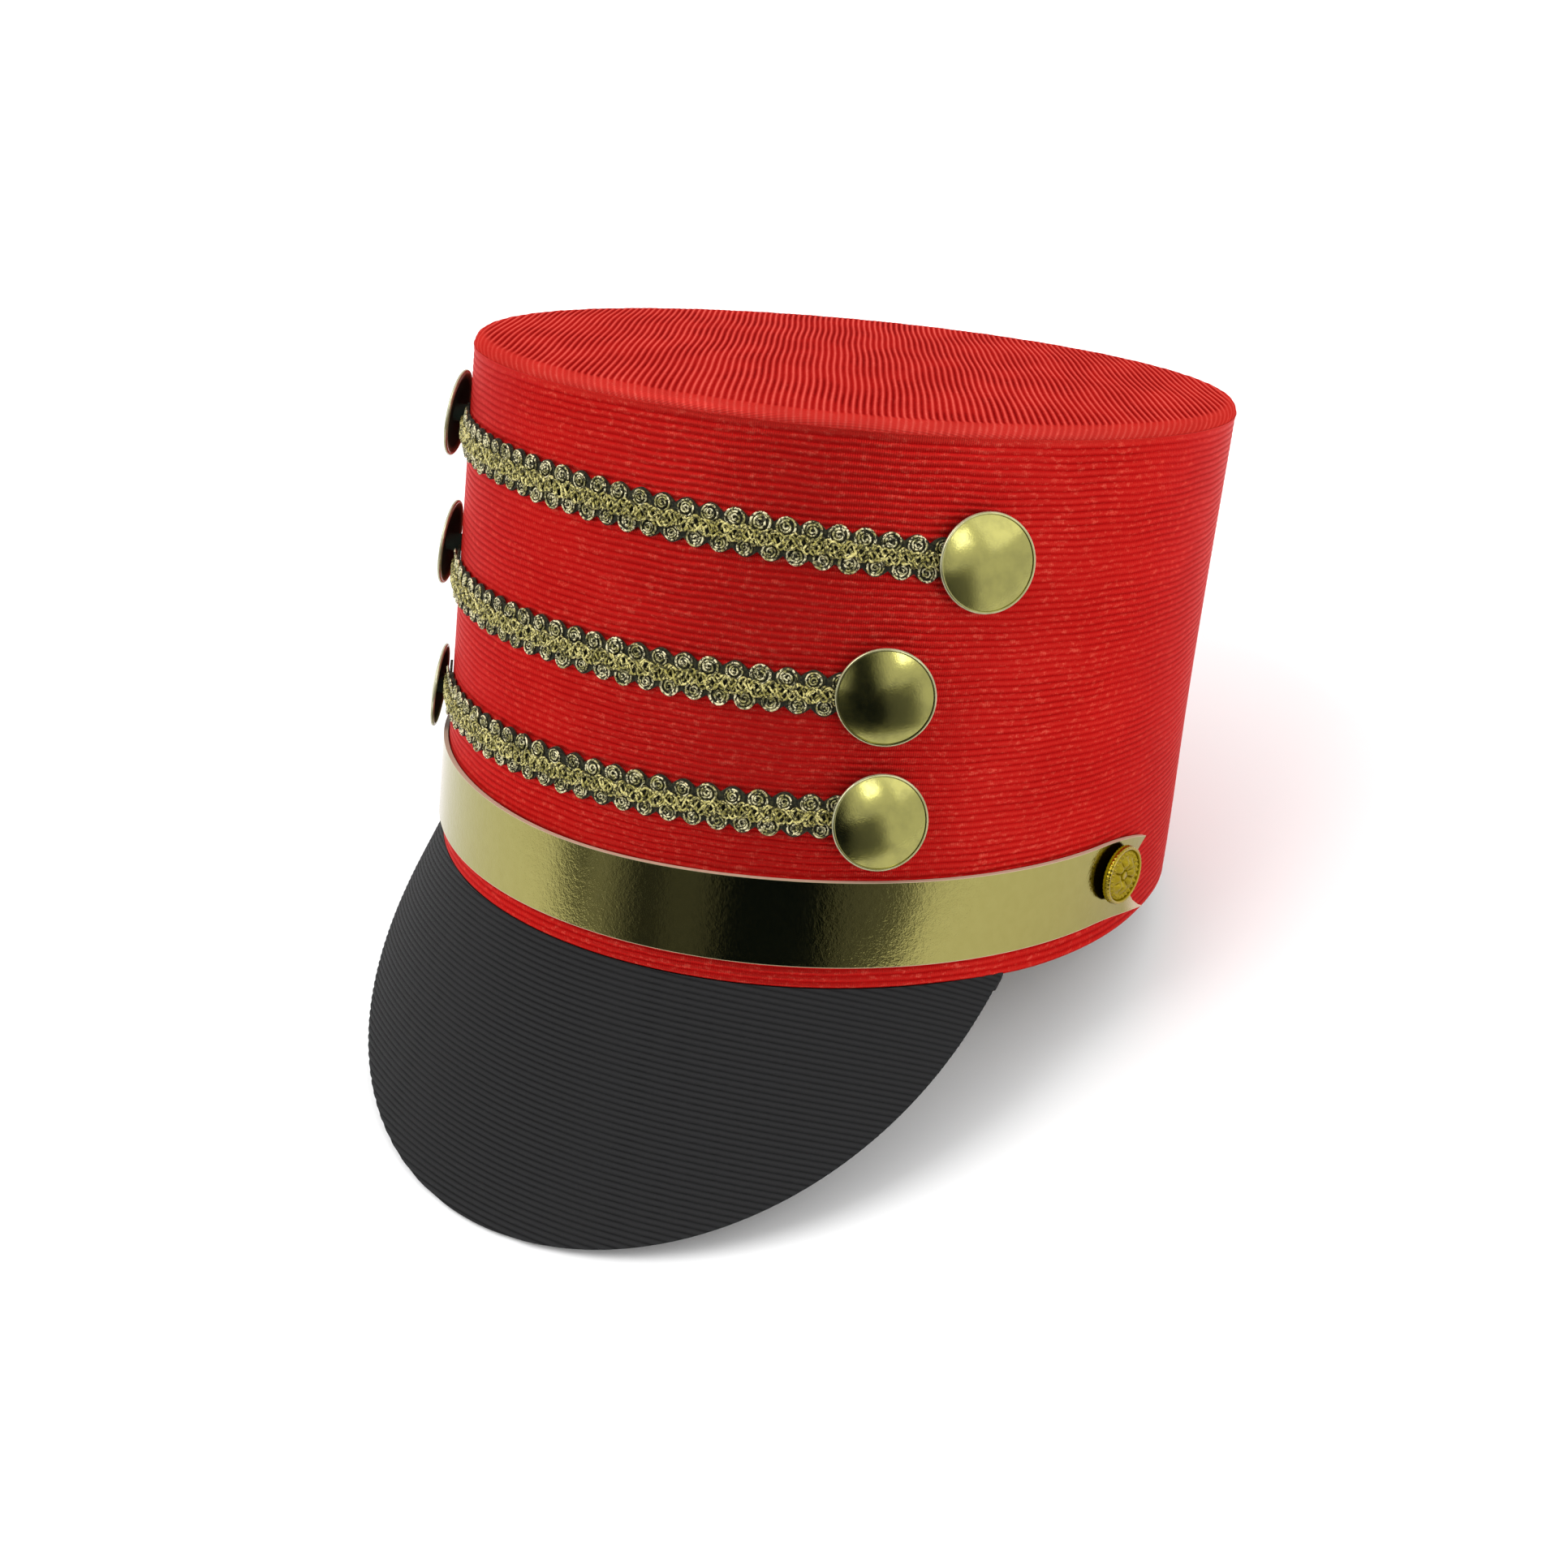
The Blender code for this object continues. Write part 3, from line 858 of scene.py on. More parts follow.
@dataclass
class Crown(Part):
    """The crown's ribbed side and its ribbed flat top."""

    rib: float = 1.35 * MM
    top_rib: float = 1.40 * MM
    relief: float = 0.14 * MM
    top_relief: float = 0.24 * MM
    steps: int = 5
    columns: int = 192
    top_samples: int = 120
    top_turn: float = math.radians(36.3)
    dome: float = 1.0 * MM
    waver: float = 0.16 * MM
    sag: float = 0.8 * MM
    swell: float = 1.2 * MM
    flare: float = 0.12 * MM
    flare_height: float = 1.5 * MM
    pucker: float = 0.07 * MM
    shoulder_lead: float = 1.4 * MM
    shoulder_width: float = 2.6 * MM
    satin: RibbedSatin = field(default_factory=RibbedSatin)
    top_satin: RibbedSatin = field(
        default_factory=lambda: RibbedSatin(
            crest=(0.430, 0.012, 0.009), groove_shade=(0.170, 0.002, 0.002), highlight_colour=(0.900, 0.200, 0.150),
            sharpness=1.7, metallic=0.25, roughness=0.40, gloss=0.0, glint=0.22, crest_highlight=0.38
        )
    )

    def _slack(self, angle: np.ndarray, height: np.ndarray) -> tuple[np.ndarray, np.ndarray]:
        """How far the side's lower edge sags past the visor's ends, and swells behind the band's ends.

        Args:
            angle: angles from the front, in radians.
            height: heights above the rim.

        Returns:
            Distances down and outwards.
        """
        degrees = np.degrees(np.abs(angle))
        sag = smooth_step(degrees, 55, 75) * (1.0 - smooth_step(degrees, 130, 165))
        swell = smooth_step(degrees, 97, 118) * (1.0 - smooth_step(degrees, 140, 170))
        near_rim = np.clip(1.0 - height / (5 * MM), 0.0, 1.0)
        return self.sag * sag * near_rim, self.swell * swell * np.exp(-((height / (35 * MM)) ** 2))

    def build_side(self) -> bpy.types.Object:
        """Make the side, a closed tube whose outside carries level ribs.

        Returns:
            The piece.
        """
        form, wall = self.form, self.form.wall
        top = form.crown_height - form.seam_drop
        rows = round(top / self.rib * self.steps)
        heights = np.linspace(0.0, top, rows + 1)[1:-1]
        outs = ridge(heights / self.rib, self.relief) * np.clip((top - heights) / (2 * MM), 0.0, 1.0)
        rim = [(0.0, -0.7 * wall), (0.0, -0.15 * wall)]
        lip = [(top, 0.05 * wall), (top, -0.85 * wall)]
        down = [(level, -wall) for level in np.linspace(top - 0.4 * MM, 0.6 * MM, 8)]
        profile = np.array([*rim, *zip(heights, outs), *lip, *down])
        level, out = profile[:, :1], profile[:, 1:]
        inside = (np.arange(len(profile)) > rows + 1).astype(float)
        inside[0] = 1.0
        angle = np.linspace(-math.pi, math.pi, self.columns, endpoint=False)[None, :]
        sag, swell = self._slack(angle, level)
        middle = np.clip(np.minimum(level, top - level) / (4 * MM), 0.0, 1.0)
        waver = self.waver * middle * np.sin(9 * angle + 190 * level) * np.sin(23 * angle - 70 * level + 1.3)
        near_top = np.clip(1.0 - (top - level) / self.flare_height, 0.0, 1.0) * (out > -0.2 * wall)
        skin = Skin()
        points = form.crown(angle, level - sag + waver, out + swell + self.flare * near_top)
        numbers = skin.add(points, inside=inside[:, None], shoulder=near_top)
        girth = 2 * math.pi * form.rim_radius
        turns = np.linspace(0.0, girth / self.rib, self.columns + 1)
        across = np.append(level[:, 0], 0.0) / self.rib
        chart = np.stack(np.broadcast_arrays(turns[None, :], across[:, None]), axis=-1)
        skin.quads(np.pad(numbers, ((0, 1), (0, 1)), mode="wrap"), chart)
        mesh = skin.mesh("crown_satin", self.place)
        satin = self.satin.material("ribbed_satin_side")
        piece = self.dress("crown_satin", mesh, satin, "crown_fabric", "crown_wall")
        return piece

    def _over_the_edge(self, x: np.ndarray, y: np.ndarray, lift: np.ndarray) -> np.ndarray:
        """Bend a flat disc of cloth over the crown's rounded top edge.

        Args:
            x: places on the flat disc.
            y: places on the flat disc.
            lift: height of the ribs off the cloth.

        Returns:
            Points in the hat's own frame.
        """
        form = self.form
        bend, flat = form.top_round, form.top_radius - form.top_round
        reach = np.maximum(np.hypot(x, y), 1e-9)
        past = np.clip((reach - flat) / bend, 0.0, math.pi / 2)
        skirt = np.maximum(reach - flat - bend * math.pi / 2, 0.0)
        radius = np.where(reach < flat, reach, flat + bend * np.sin(past)) + lift * np.sin(past)
        dome = self.dome * np.clip(1.0 - (reach / flat) ** 2, 0.0, 1.0)
        height = form.crown_height + dome - bend * (1.0 - np.cos(past)) - skirt + lift * np.cos(past)
        return form.lean_back(x / reach * radius, y / reach * radius, height)

    def build_top(self) -> bpy.types.Object:
        """Make the top, a closed lid whose straight ribs flatten into its rounded, puckered edge.

        Returns:
            The piece.
        """
        form = self.form
        flat = form.top_radius - form.top_round
        reach = flat + form.top_round * math.pi / 2 + form.seam_drop - form.top_round
        lines = round(2 * reach / self.top_rib * self.steps)
        u = np.linspace(-reach, reach, lines + 1)[:, None]
        t = np.sin(np.linspace(-math.pi / 2, math.pi / 2, self.top_samples + 1))[None, :]
        u, v = np.broadcast_arrays(u, t * np.sqrt(np.maximum(reach * reach - u * u, 0.0)))
        cos, sin = math.cos(self.top_turn), math.sin(self.top_turn)
        x, y = u * cos + v * sin, u * sin - v * cos
        inset = flat - self.shoulder_lead
        shoulder = smooth_step(np.hypot(x, y), inset, inset + self.shoulder_width)
        turn = np.arctan2(x, -y)
        pucker = self.pucker * np.sin(61 * turn + 2.0 * np.sin(5 * turn)) * np.sin(23 * turn) * shoulder
        lift = ridge(u / self.top_rib, self.top_relief) * (1.0 - 0.95 * shoulder) + pucker
        waver = 1.8 * self.waver * (1.0 - shoulder) * np.sin(95 * v + 31 * u) * np.sin(60 * u - 40 * v + 0.7)
        skin = Skin()
        points = self._over_the_edge(x + waver * cos, y + waver * sin, lift)
        numbers = skin.add(points, shoulder=shoulder)
        for end in (0, -1):
            numbers[end, :] = numbers[end, 0]
        skin.quads(numbers, np.stack((v / self.top_rib, u / self.top_rib), axis=-1))
        edge, around = (np.concatenate([grid[:, -1], grid[-2:0:-1, 0]]) for grid in (numbers, turn))
        self._close_below(skin, edge, around)
        mesh = skin.mesh("top_satin", self.place)
        satin = self.top_satin.material("ribbed_satin_top")
        piece = self.dress("top_satin", mesh, satin, "top_fabric", "crown_top")
        return piece

    def _close_below(self, skin: Skin, edge: np.ndarray, turn: np.ndarray) -> None:
        """Close the lid with its skirt's inside and its underside.

        Args:
            skin: the lid so far.
            edge: numbers of the points round its lower edge.
            turn: angle of each of those points from the front.
        """
        form = self.form
        low = form.crown_height - form.seam_drop
        ceiling = form.crown_height - form.wall
        inner = form.top_radius - form.wall
        rings = [edge]
        for share, height in ((1.0, low), (1.0, ceiling), (0.6, ceiling), (0.2, ceiling)):
            radius = inner * share
            ring = form.lean_back(radius * np.sin(turn), -radius * np.cos(turn), np.full_like(turn, height))
            rings.append(skin.add(ring, inside=1.0))
        middle = skin.add(form.lean_back(np.zeros(1), np.zeros(1), np.full(1, ceiling)), inside=1.0)
        rings.append(np.repeat(middle, len(edge)))
        skin.quads(np.pad(np.stack(rings), ((0, 0), (0, 1)), mode="wrap"))


@dataclass
class Visor(Part):
    """The visor: ribbed cloth over a drooping board, with a tab that is glued inside the wall."""

    rib: float = 1.29 * MM
    relief: float = 0.26 * MM
    rib_drift: float = 5.5e-5 * MM
    steps: int = 4
    columns: int = 150
    tab_height: float = 9.0 * MM
    tab_thick: float = 1.4 * MM
    tab_bend: float = 1.0 * MM
    tab_foot: float = 1.5 * MM
    ledge_inset: float = 0.2 * MM
    jog: float = 3.5 * MM
    tip_room: float = 0.2 * MM
    under_lift: float = 0.63 * MM
    end: float = 0.985
    cloth: RibbedCloth = field(default_factory=RibbedCloth)

    def _section(self, turn: np.ndarray, run: np.ndarray, drop: np.ndarray) -> np.ndarray:
        """Points of the drooping board.

        Args:
            turn: stations from -1 at one end to 1 at the other.
            run: distance from the rim along the visor.
            drop: distance below the upper face, or above it where negative.

        Returns:
            Points in the hat's own frame.
        """
        form = self.form
        droop = form.visor_droop + (form.visor_droop_at_ends - form.visor_droop) * turn * turn
        angle = turn * form.visor_half_angle
        radius = form.rim_radius + run * np.cos(droop) - drop * np.sin(droop)
        height = -run * np.sin(droop) - drop * np.cos(droop)
        return np.stack((radius * np.sin(angle), -radius * np.cos(angle), height), axis=-1)

    def _tab(self, turn: np.ndarray, radius: float, height: float) -> np.ndarray:
        """One line of points along the tab, which leans with the wall above the rim.

        Args:
            turn: stations from -1 at one end to 1 at the other.
            radius: the line's radius.
            height: its height above the rim.

        Returns:
            Points in the hat's own frame.
        """
        angle = turn * self.form.visor_half_angle
        x, y, z = radius * np.sin(angle), -radius * np.cos(angle), np.full_like(angle, height)
        return self.form.lean_back(x, y, z) if height > 0 else np.stack((x, y, z), axis=-1)

    def _phase(self, turn: np.ndarray, run: np.ndarray) -> np.ndarray:
        """Ribs counted from the rim. They run level at the front and drift towards the edge at the ends."""
        degrees = np.degrees(np.abs(turn) * self.form.visor_half_angle)
        return (run - self.rib_drift * degrees**3) / self.rib

    def _under_run(self, turn: np.ndarray, run: np.ndarray) -> np.ndarray:
        """Where the underside lies below each point of the upper face, past the jog and inside the edge.

        Args:
            turn: stations of the upper face.
            run: its distances from the rim.

        Returns:
            The underside's distances from the rim.
        """
        length = self.form.visor_length
        eased = np.minimum(self.jog + run * (length - self.jog) / length, np.maximum(run, self.jog))
        limit = length * (1.0 - turn**2) ** self.form.visor_fullness
        return np.minimum(eased, np.maximum(limit, self.tip_room))

    def build(self) -> bpy.types.Object:
        """Make the visor as one closed skin: tab, ledge, upper face, edge and underside.

        Returns:
            The piece.
        """
        form, length = self.form, self.form.visor_length
        tip = [length - step * MM for step in (0.2, 0.1, 0.04, 0.01)]
        runs = np.array([*np.arange(0.0, length - 0.25 * MM, self.rib / self.steps), *tip, length])
        share = np.clip(1.0 - (runs / length) ** (1.0 / form.visor_fullness), 0.0, 1.0)
        wide = self.end * np.linspace(-1.0, 1.0, self.columns + 1)[None, :]
        turn, run = np.broadcast_arrays(np.sqrt(share)[:, None] * wide, runs[:, None])
        phase = self._phase(turn, run)
        above = self._section(turn, run, -ridge(phase, self.relief))
        under_run = self._under_run(turn, run)
        drop = form.visor_thick - self.under_lift + ridge(self._phase(turn, under_run), self.relief * 0.5)
        below = self._section(turn, under_run, drop)
        tab_out = form.rim_radius - form.wall - form.gap
        tab_in = tab_out - self.tab_thick
        ledge = form.rim_radius - self.ledge_inset
        outer = [(tab_out, self.tab_height), (tab_out, -form.gap), (ledge, -form.gap)]
        inner = [(tab_in, self.tab_height), (tab_in, self.tab_bend), (tab_in, -self.tab_foot)]
        skin = Skin()
        upper, lower = (
            skin.add(np.concatenate([*(self._tab(wide, *line) for line in lines), face]))
            for lines, face in ((outer, above), (inner, below))
        )
        tab_runs = -np.array([self.tab_height, self.tab_bend, form.gap])[:, None]
        tab_wide, tab_runs = np.broadcast_arrays(wide, tab_runs)
        along = np.concatenate([tab_wide, turn]) * form.visor_half_angle * form.rim_radius / self.rib
        chart = np.stack((along, np.concatenate([tab_runs / self.rib, phase])), axis=-1)
        skin.quads(upper, chart)
        skin.quads(lower[:, ::-1], chart[:, ::-1])
        skin.join(upper, lower)
        mesh = skin.mesh("visor_cloth", self.place, 40.0)
        cloth = self.cloth.material("ribbed_charcoal")
        piece = self.dress("visor_cloth", mesh, cloth, "visor_fabric", "visor")
        width = 2 * form.visor_half_angle * (form.rim_radius + length * 0.3)
        cut = 0.62 * width * (length + self.tab_height)
        length + self.tab_height
        return piece


@dataclass
class GoldBand(Part):
    """The foil band round the front half, with a swallow-tail cut and a curled corner at each end."""

    low: float = 5.0 * MM
    high: float = 22.6 * MM
    thick: float = 1.0 * MM
    dip: float = 0.9 * MM
    dip_width: float = math.radians(24.0)
    droop: float = 3.0 * MM
    droop_from: float = math.radians(83.0)
    tip: float = math.radians(95.5)
    notch: float = math.radians(4.0)
    curl: float = 1.8 * MM
    curl_reach: float = math.radians(6.0)
    button_angle: float = math.radians(87.0)
    button_rise: float = 1.7 * MM
    columns: int = 240
    rows: int = 14
    foil: Foil = field(default_factory=Foil)

    def middle(self, angle: np.ndarray) -> np.ndarray:
        """Height of the band's middle, which droops towards each tip."""
        past = np.maximum(0.0, (np.abs(angle) - self.droop_from) / (self.tip - self.droop_from))
        return (self.low + self.high) / 2 - self.droop * past * past

    def _grid(self) -> tuple[np.ndarray, np.ndarray]:
        """Rows across the band and columns along it, from -1 to 1, with a narrow row on each cut edge."""
        rows = [[-1.0, -0.98], np.linspace(-0.9, 0.9, self.rows - 3), [0.98, 1.0]]
        return np.concatenate(rows)[:, None], np.linspace(-1.0, 1.0, self.columns + 1)[None, :]

    def _curl(self, angle: np.ndarray, level: np.ndarray) -> np.ndarray:
        """How far the lower corner of each end has curled, from 0 to 1."""
        past = np.clip((np.abs(angle) - self.tip) / self.curl_reach + 1.0, 0.0, 1.0)
        return (past * np.clip(-level, 0.0, 1.0)) ** 2

    def _face(self, out: float) -> np.ndarray:
        """One face of the band, at this distance off the crown.

        Args:
            out: distance off the crown.

        Returns:
            A grid of points in the hat's own frame.
        """
        level, share = self._grid()
        angle = (self.tip - self.notch * (1.0 - level * level)) * share
        dip = self.dip * np.exp(-((angle / self.dip_width) ** 2)) * (1.0 + level) / 2
        curl = self._curl(angle, level)
        height = self.middle(angle) + level * (self.high - self.low) / 2 - dip + self.curl * curl
        return self.form.crown(angle, height, out + self.curl * curl)

    def build(self) -> bpy.types.Object:
        """Make the band as a thin closed sheet with pale cut edges.

        Returns:
            The piece.
        """
        form = self.form
        skin = Skin()
        level, share = self._grid()
        rim = np.clip(1.7 * self._curl(self.tip * share, level) - 0.2, 0.0, 1.0)
        outer = skin.add(self._face(form.gap + self.thick), edge=np.maximum(np.abs(level) > 0.99, rim))
        inner = skin.add(self._face(form.gap), edge=1.0)
        chart = np.stack(np.meshgrid(np.arange(self.columns + 1.0), np.arange(self.rows + 1.0)), axis=-1)
        skin.quads(outer, chart)
        skin.quads(inner, chart)
        skin.join(outer, inner)
        mesh = skin.mesh("foil_band", self.place, 40.0)
        foil = self.foil.material("olive_gold_foil")
        piece = self.dress("foil_band", mesh, foil, "band_foil", "gold_band")
        2 * self.tip * form.rim_radius
        self.high - self.low
        return piece


Profile = list[tuple[float, ...]]


def turned(profile: Profile, sides: int, shape: Optional[Callable[..., tuple]] = None) -> Skin:
    """Turn a profile about Z into a closed skin.

    Args:
        profile: from the axis on top to the axis below, the radius and height of each point. They may
        be followed by how much painted shade it carries, and then by how far it belongs to the rim,
        which is painted paler as a highlight.
        sides: number of steps round.
        shape: optional function of radius, height and angle that gives the points' new radius and height.

    Returns:
        The skin, whose points carry their painted shade and rim.
    """
    rows = np.array([(*point, 0.0, 0.0)[:4] for point in profile])
    angle = np.linspace(0.0, 2 * math.pi, sides, endpoint=False)[None, :]
    radius, height, crease, rim, angle = np.broadcast_arrays(*(rows[:, [k]] for k in range(4)), angle)
    if shape is not None:
        radius, height = shape(radius, height, angle)
    skin = Skin()
    points = np.stack((radius * np.cos(angle), radius * np.sin(angle), height), axis=-1)
    numbers = skin.add(points, crease=crease, rim=rim)
    for end in (0, -1):
        numbers[end, :] = numbers[end, 0]
    chart = np.stack(np.meshgrid(np.arange(sides + 1.0), np.arange(len(profile) * 1.0)), axis=-1)
    skin.quads(np.pad(numbers, ((0, 0), (0, 1)), mode="wrap"), chart)
    return skin


def dome(radius: float, foot: float, rise: float, rings: int) -> Profile:
    """Points down a shallow dome from its crest to its edge, as part of a circle.

    Args:
        radius: radius of the dome's edge.
        foot: height of that edge.
        rise: height of the crest above it.
        rings: number of steps.

    Returns:
        Pairs of radius and height.
    """
    sphere = (radius * radius + rise * rise) / (2 * rise)
    spread = math.asin(radius / sphere)
    steps = [spread * k / rings for k in range(rings + 1)]
    return [(sphere * math.sin(a), foot + rise - sphere * (1.0 - math.cos(a))) for a in steps]


@dataclass
class DomeButton(Part):
    """A large pressed button: an open domed shell with a rolled rim, on a shank."""

    number: int
    spot: ButtonSpot
    radius: float = 9.8 * MM
    rise: float = 1.6 * MM
    stand: float = 2.7 * MM
    shell: float = 0.9 * MM
    roll: float = 0.4 * MM
    roll_start: float = math.radians(110.0)
    roll_sweep: float = math.radians(230.0)
    roll_steps: int = 8
    shank: float = 2.0 * MM
    shade_radii: tuple[float, float] = (5 / 6, 0.9)
    shade_depths: tuple[float, float] = (1.0, 0.2)
    rings: int = 24
    inner_rings: int = 10
    sides: int = 72
    metal: PressedMetal = field(default_factory=PressedMetal)

    def _profile(self) -> tuple[Profile, float]:
        """The button's half outline, from the crest round the rim and back up inside to the shank.

        Returns:
            The outline, and the height at which the shank meets the shell.
        """
        centre, seat, half = self.radius - self.roll, self.stand + self.roll, 0.5 * self.roll
        outline = dome(centre - half, seat + half, self.rise - half, self.rings)
        for k in range(self.roll_steps + 1):
            a = self.roll_start - self.roll_sweep * k / self.roll_steps
            place = (centre + self.roll * math.cos(a), seat + self.roll * math.sin(a))
            # Painted highlight: the roll's points carry a rim share that grows to 1, which paints them paler.
            outline.append((*place, 0.0, min(1.0, k / 3)))
        inner = dome(centre - self.shell, self.stand + 0.1 * MM, self.rise - self.shell / 2, self.inner_rings)
        shaded_hollow = []
        # Painted shade: the points inside the shell carry painted shade, from a fifth near the rim to full
        # near the shank, and the shank carries it in full. They also carry the full rim share.
        for r, z in reversed(inner):
            if r > 1.5 * self.shank:
                shade_depth = float(np.interp(r / self.radius, self.shade_radii, self.shade_depths))
                shaded_hollow.append((r, z, shade_depth, 1.0))
        ceiling, foot = shaded_hollow[-1][1], self.form.gap
        shank = [(self.shank, ceiling, 1.0), (self.shank, foot, 1.0), (0.0, foot, 1.0)]
        return outline + shaded_hollow + shank, ceiling

    def build(self) -> bpy.types.Object:
        """Make the button where its row of braid ends, leant and turned on its shank.

        Returns:
            The piece.
        """
        side = self.spot.side.value
        name = f"dome_button_{self.number}_{side}"
        profile, ceiling = self._profile()
        skin = turned(profile, self.sides)
        pivot = Matrix.Translation((0.0, 0.0, ceiling))
        turn = Matrix.Rotation(math.radians(self.spot.turn), 4, "Y")
        tilt = Matrix.Rotation(-math.radians(self.spot.tilt), 4, "X")
        points = skin.points[0]
        leant = moved(points, pivot @ turn @ tilt @ pivot.inverted())
        skin.points[0] = np.where(points[:, 2:] > 2 * self.form.gap, leant, points)
        stand = self.form.crown_frame(math.radians(self.spot.angle), self.spot.height)
        mesh = skin.mesh(name, self.place @ stand, 60.0)
        metal = self.metal.material(f"plated_{name}")
        return self.dress(name, mesh, metal, "button_metal", f"button_{self.number}_{side}")


@dataclass
class CoinButton(Part):
    """The small button on the band's end: a reeded coin with a rosette inside a raised rim."""

    side: Side
    angle: float
    height: float
    out: float
    radius: float = 6.5 * MM
    thick: float = 1.6 * MM
    stand: float = 1.0 * MM
    rim: float = 0.7 * MM
    relief: float = 0.45 * MM
    shank: float = 2.0 * MM
    reed: float = 0.16 * MM
    reeds: int = 44
    petals: int = 8
    metal: PressedMetal = field(
        default_factory=lambda: PressedMetal(
            colour=(0.310, 0.225, 0.003), rim=(0.430, 0.340, 0.012), shaded_hollow=(0.040, 0.026, 0.001),
            roughness=0.20
        )
    )

    def _press(
        self, radius: np.ndarray, height: np.ndarray, angle: np.ndarray
    ) -> tuple[np.ndarray, np.ndarray]:
        """Press the rosette into the face and the reeds into the edge.

        Args:
            radius: the turned points' radii.
            height: their heights.
            angle: their angles.

        Returns:
            The new radii and heights.
        """
        share = radius / self.radius
        petal = np.abs(np.cos(self.petals / 2 * angle)) ** 0.6 * np.exp(-((share - 0.42) / 0.17) ** 2)
        beads = (0.5 + 0.5 * np.cos(3 * self.petals * angle)) * np.exp(-((share - 0.74) / 0.05) ** 2)
        face = (height > self.stand + 0.6 * self.thick) & (share < 0.86)
        edge = (share > 0.965) & (height > self.stand - 0.1 * MM)
        pressed = height + np.where(face, self.relief * (2.1 * petal + 1.5 * beads), 0.0)
        return radius - np.where(edge, self.reed * (0.5 + 0.5 * np.cos(self.reeds * angle)), 0.0), pressed

    def _profile(self) -> Profile:
        """The coin's half outline: a boss, the face round it, the raised rim, the edge and the shank.

        Returns:
            The outline.
        """
        top, inner = self.stand + self.thick, self.radius - self.rim
        floor = top - self.relief
        # Painted shade: the third number of each point darkens the recesses round the boss and inside the
        # rim, the sunk face a little, and the edge's foot, underside and shank.
        boss = [(0.0, top), (0.3 * MM, top), (0.8 * MM, top - 0.1 * MM), (1.1 * MM, floor, 0.8)]
        face = [(float(r), floor, 0.10) for r in np.linspace(1.4 * MM, inner - 0.5 * MM, 20)]
        rim = [(inner - 0.25 * MM, floor, 0.9), (inner, top - 0.05 * MM), (inner + 0.2 * MM, top)]
        edge = [
            (self.radius - 0.2 * MM, top), (self.radius, top - 0.2 * MM),
            (self.radius, self.stand + 0.7 * MM), (self.radius, self.stand + 0.1 * MM, 0.5),
            (self.radius - 0.3 * MM, self.stand, 1.0),
        ]
        shank = [(self.shank, self.stand, 1.0), (self.shank, 0.0, 1.0), (0.0, 0.0, 1.0)]
        return boss + face + rim + edge + shank

    def build(self) -> bpy.types.Object:
        """Make the button on the band.

        Returns:
            The piece.
        """
        name = f"coin_button_{self.side.value}"
        spot = self.form.crown_frame(self.angle, self.height, self.out)
        mesh = turned(self._profile(), 4 * self.reeds, self._press).mesh(name, self.place @ spot, 45.0)
        metal = self.metal.material(f"brass_{name}")
        return self.dress(name, mesh, metal, "side_button_metal", f"side_button_{self.side.value}")


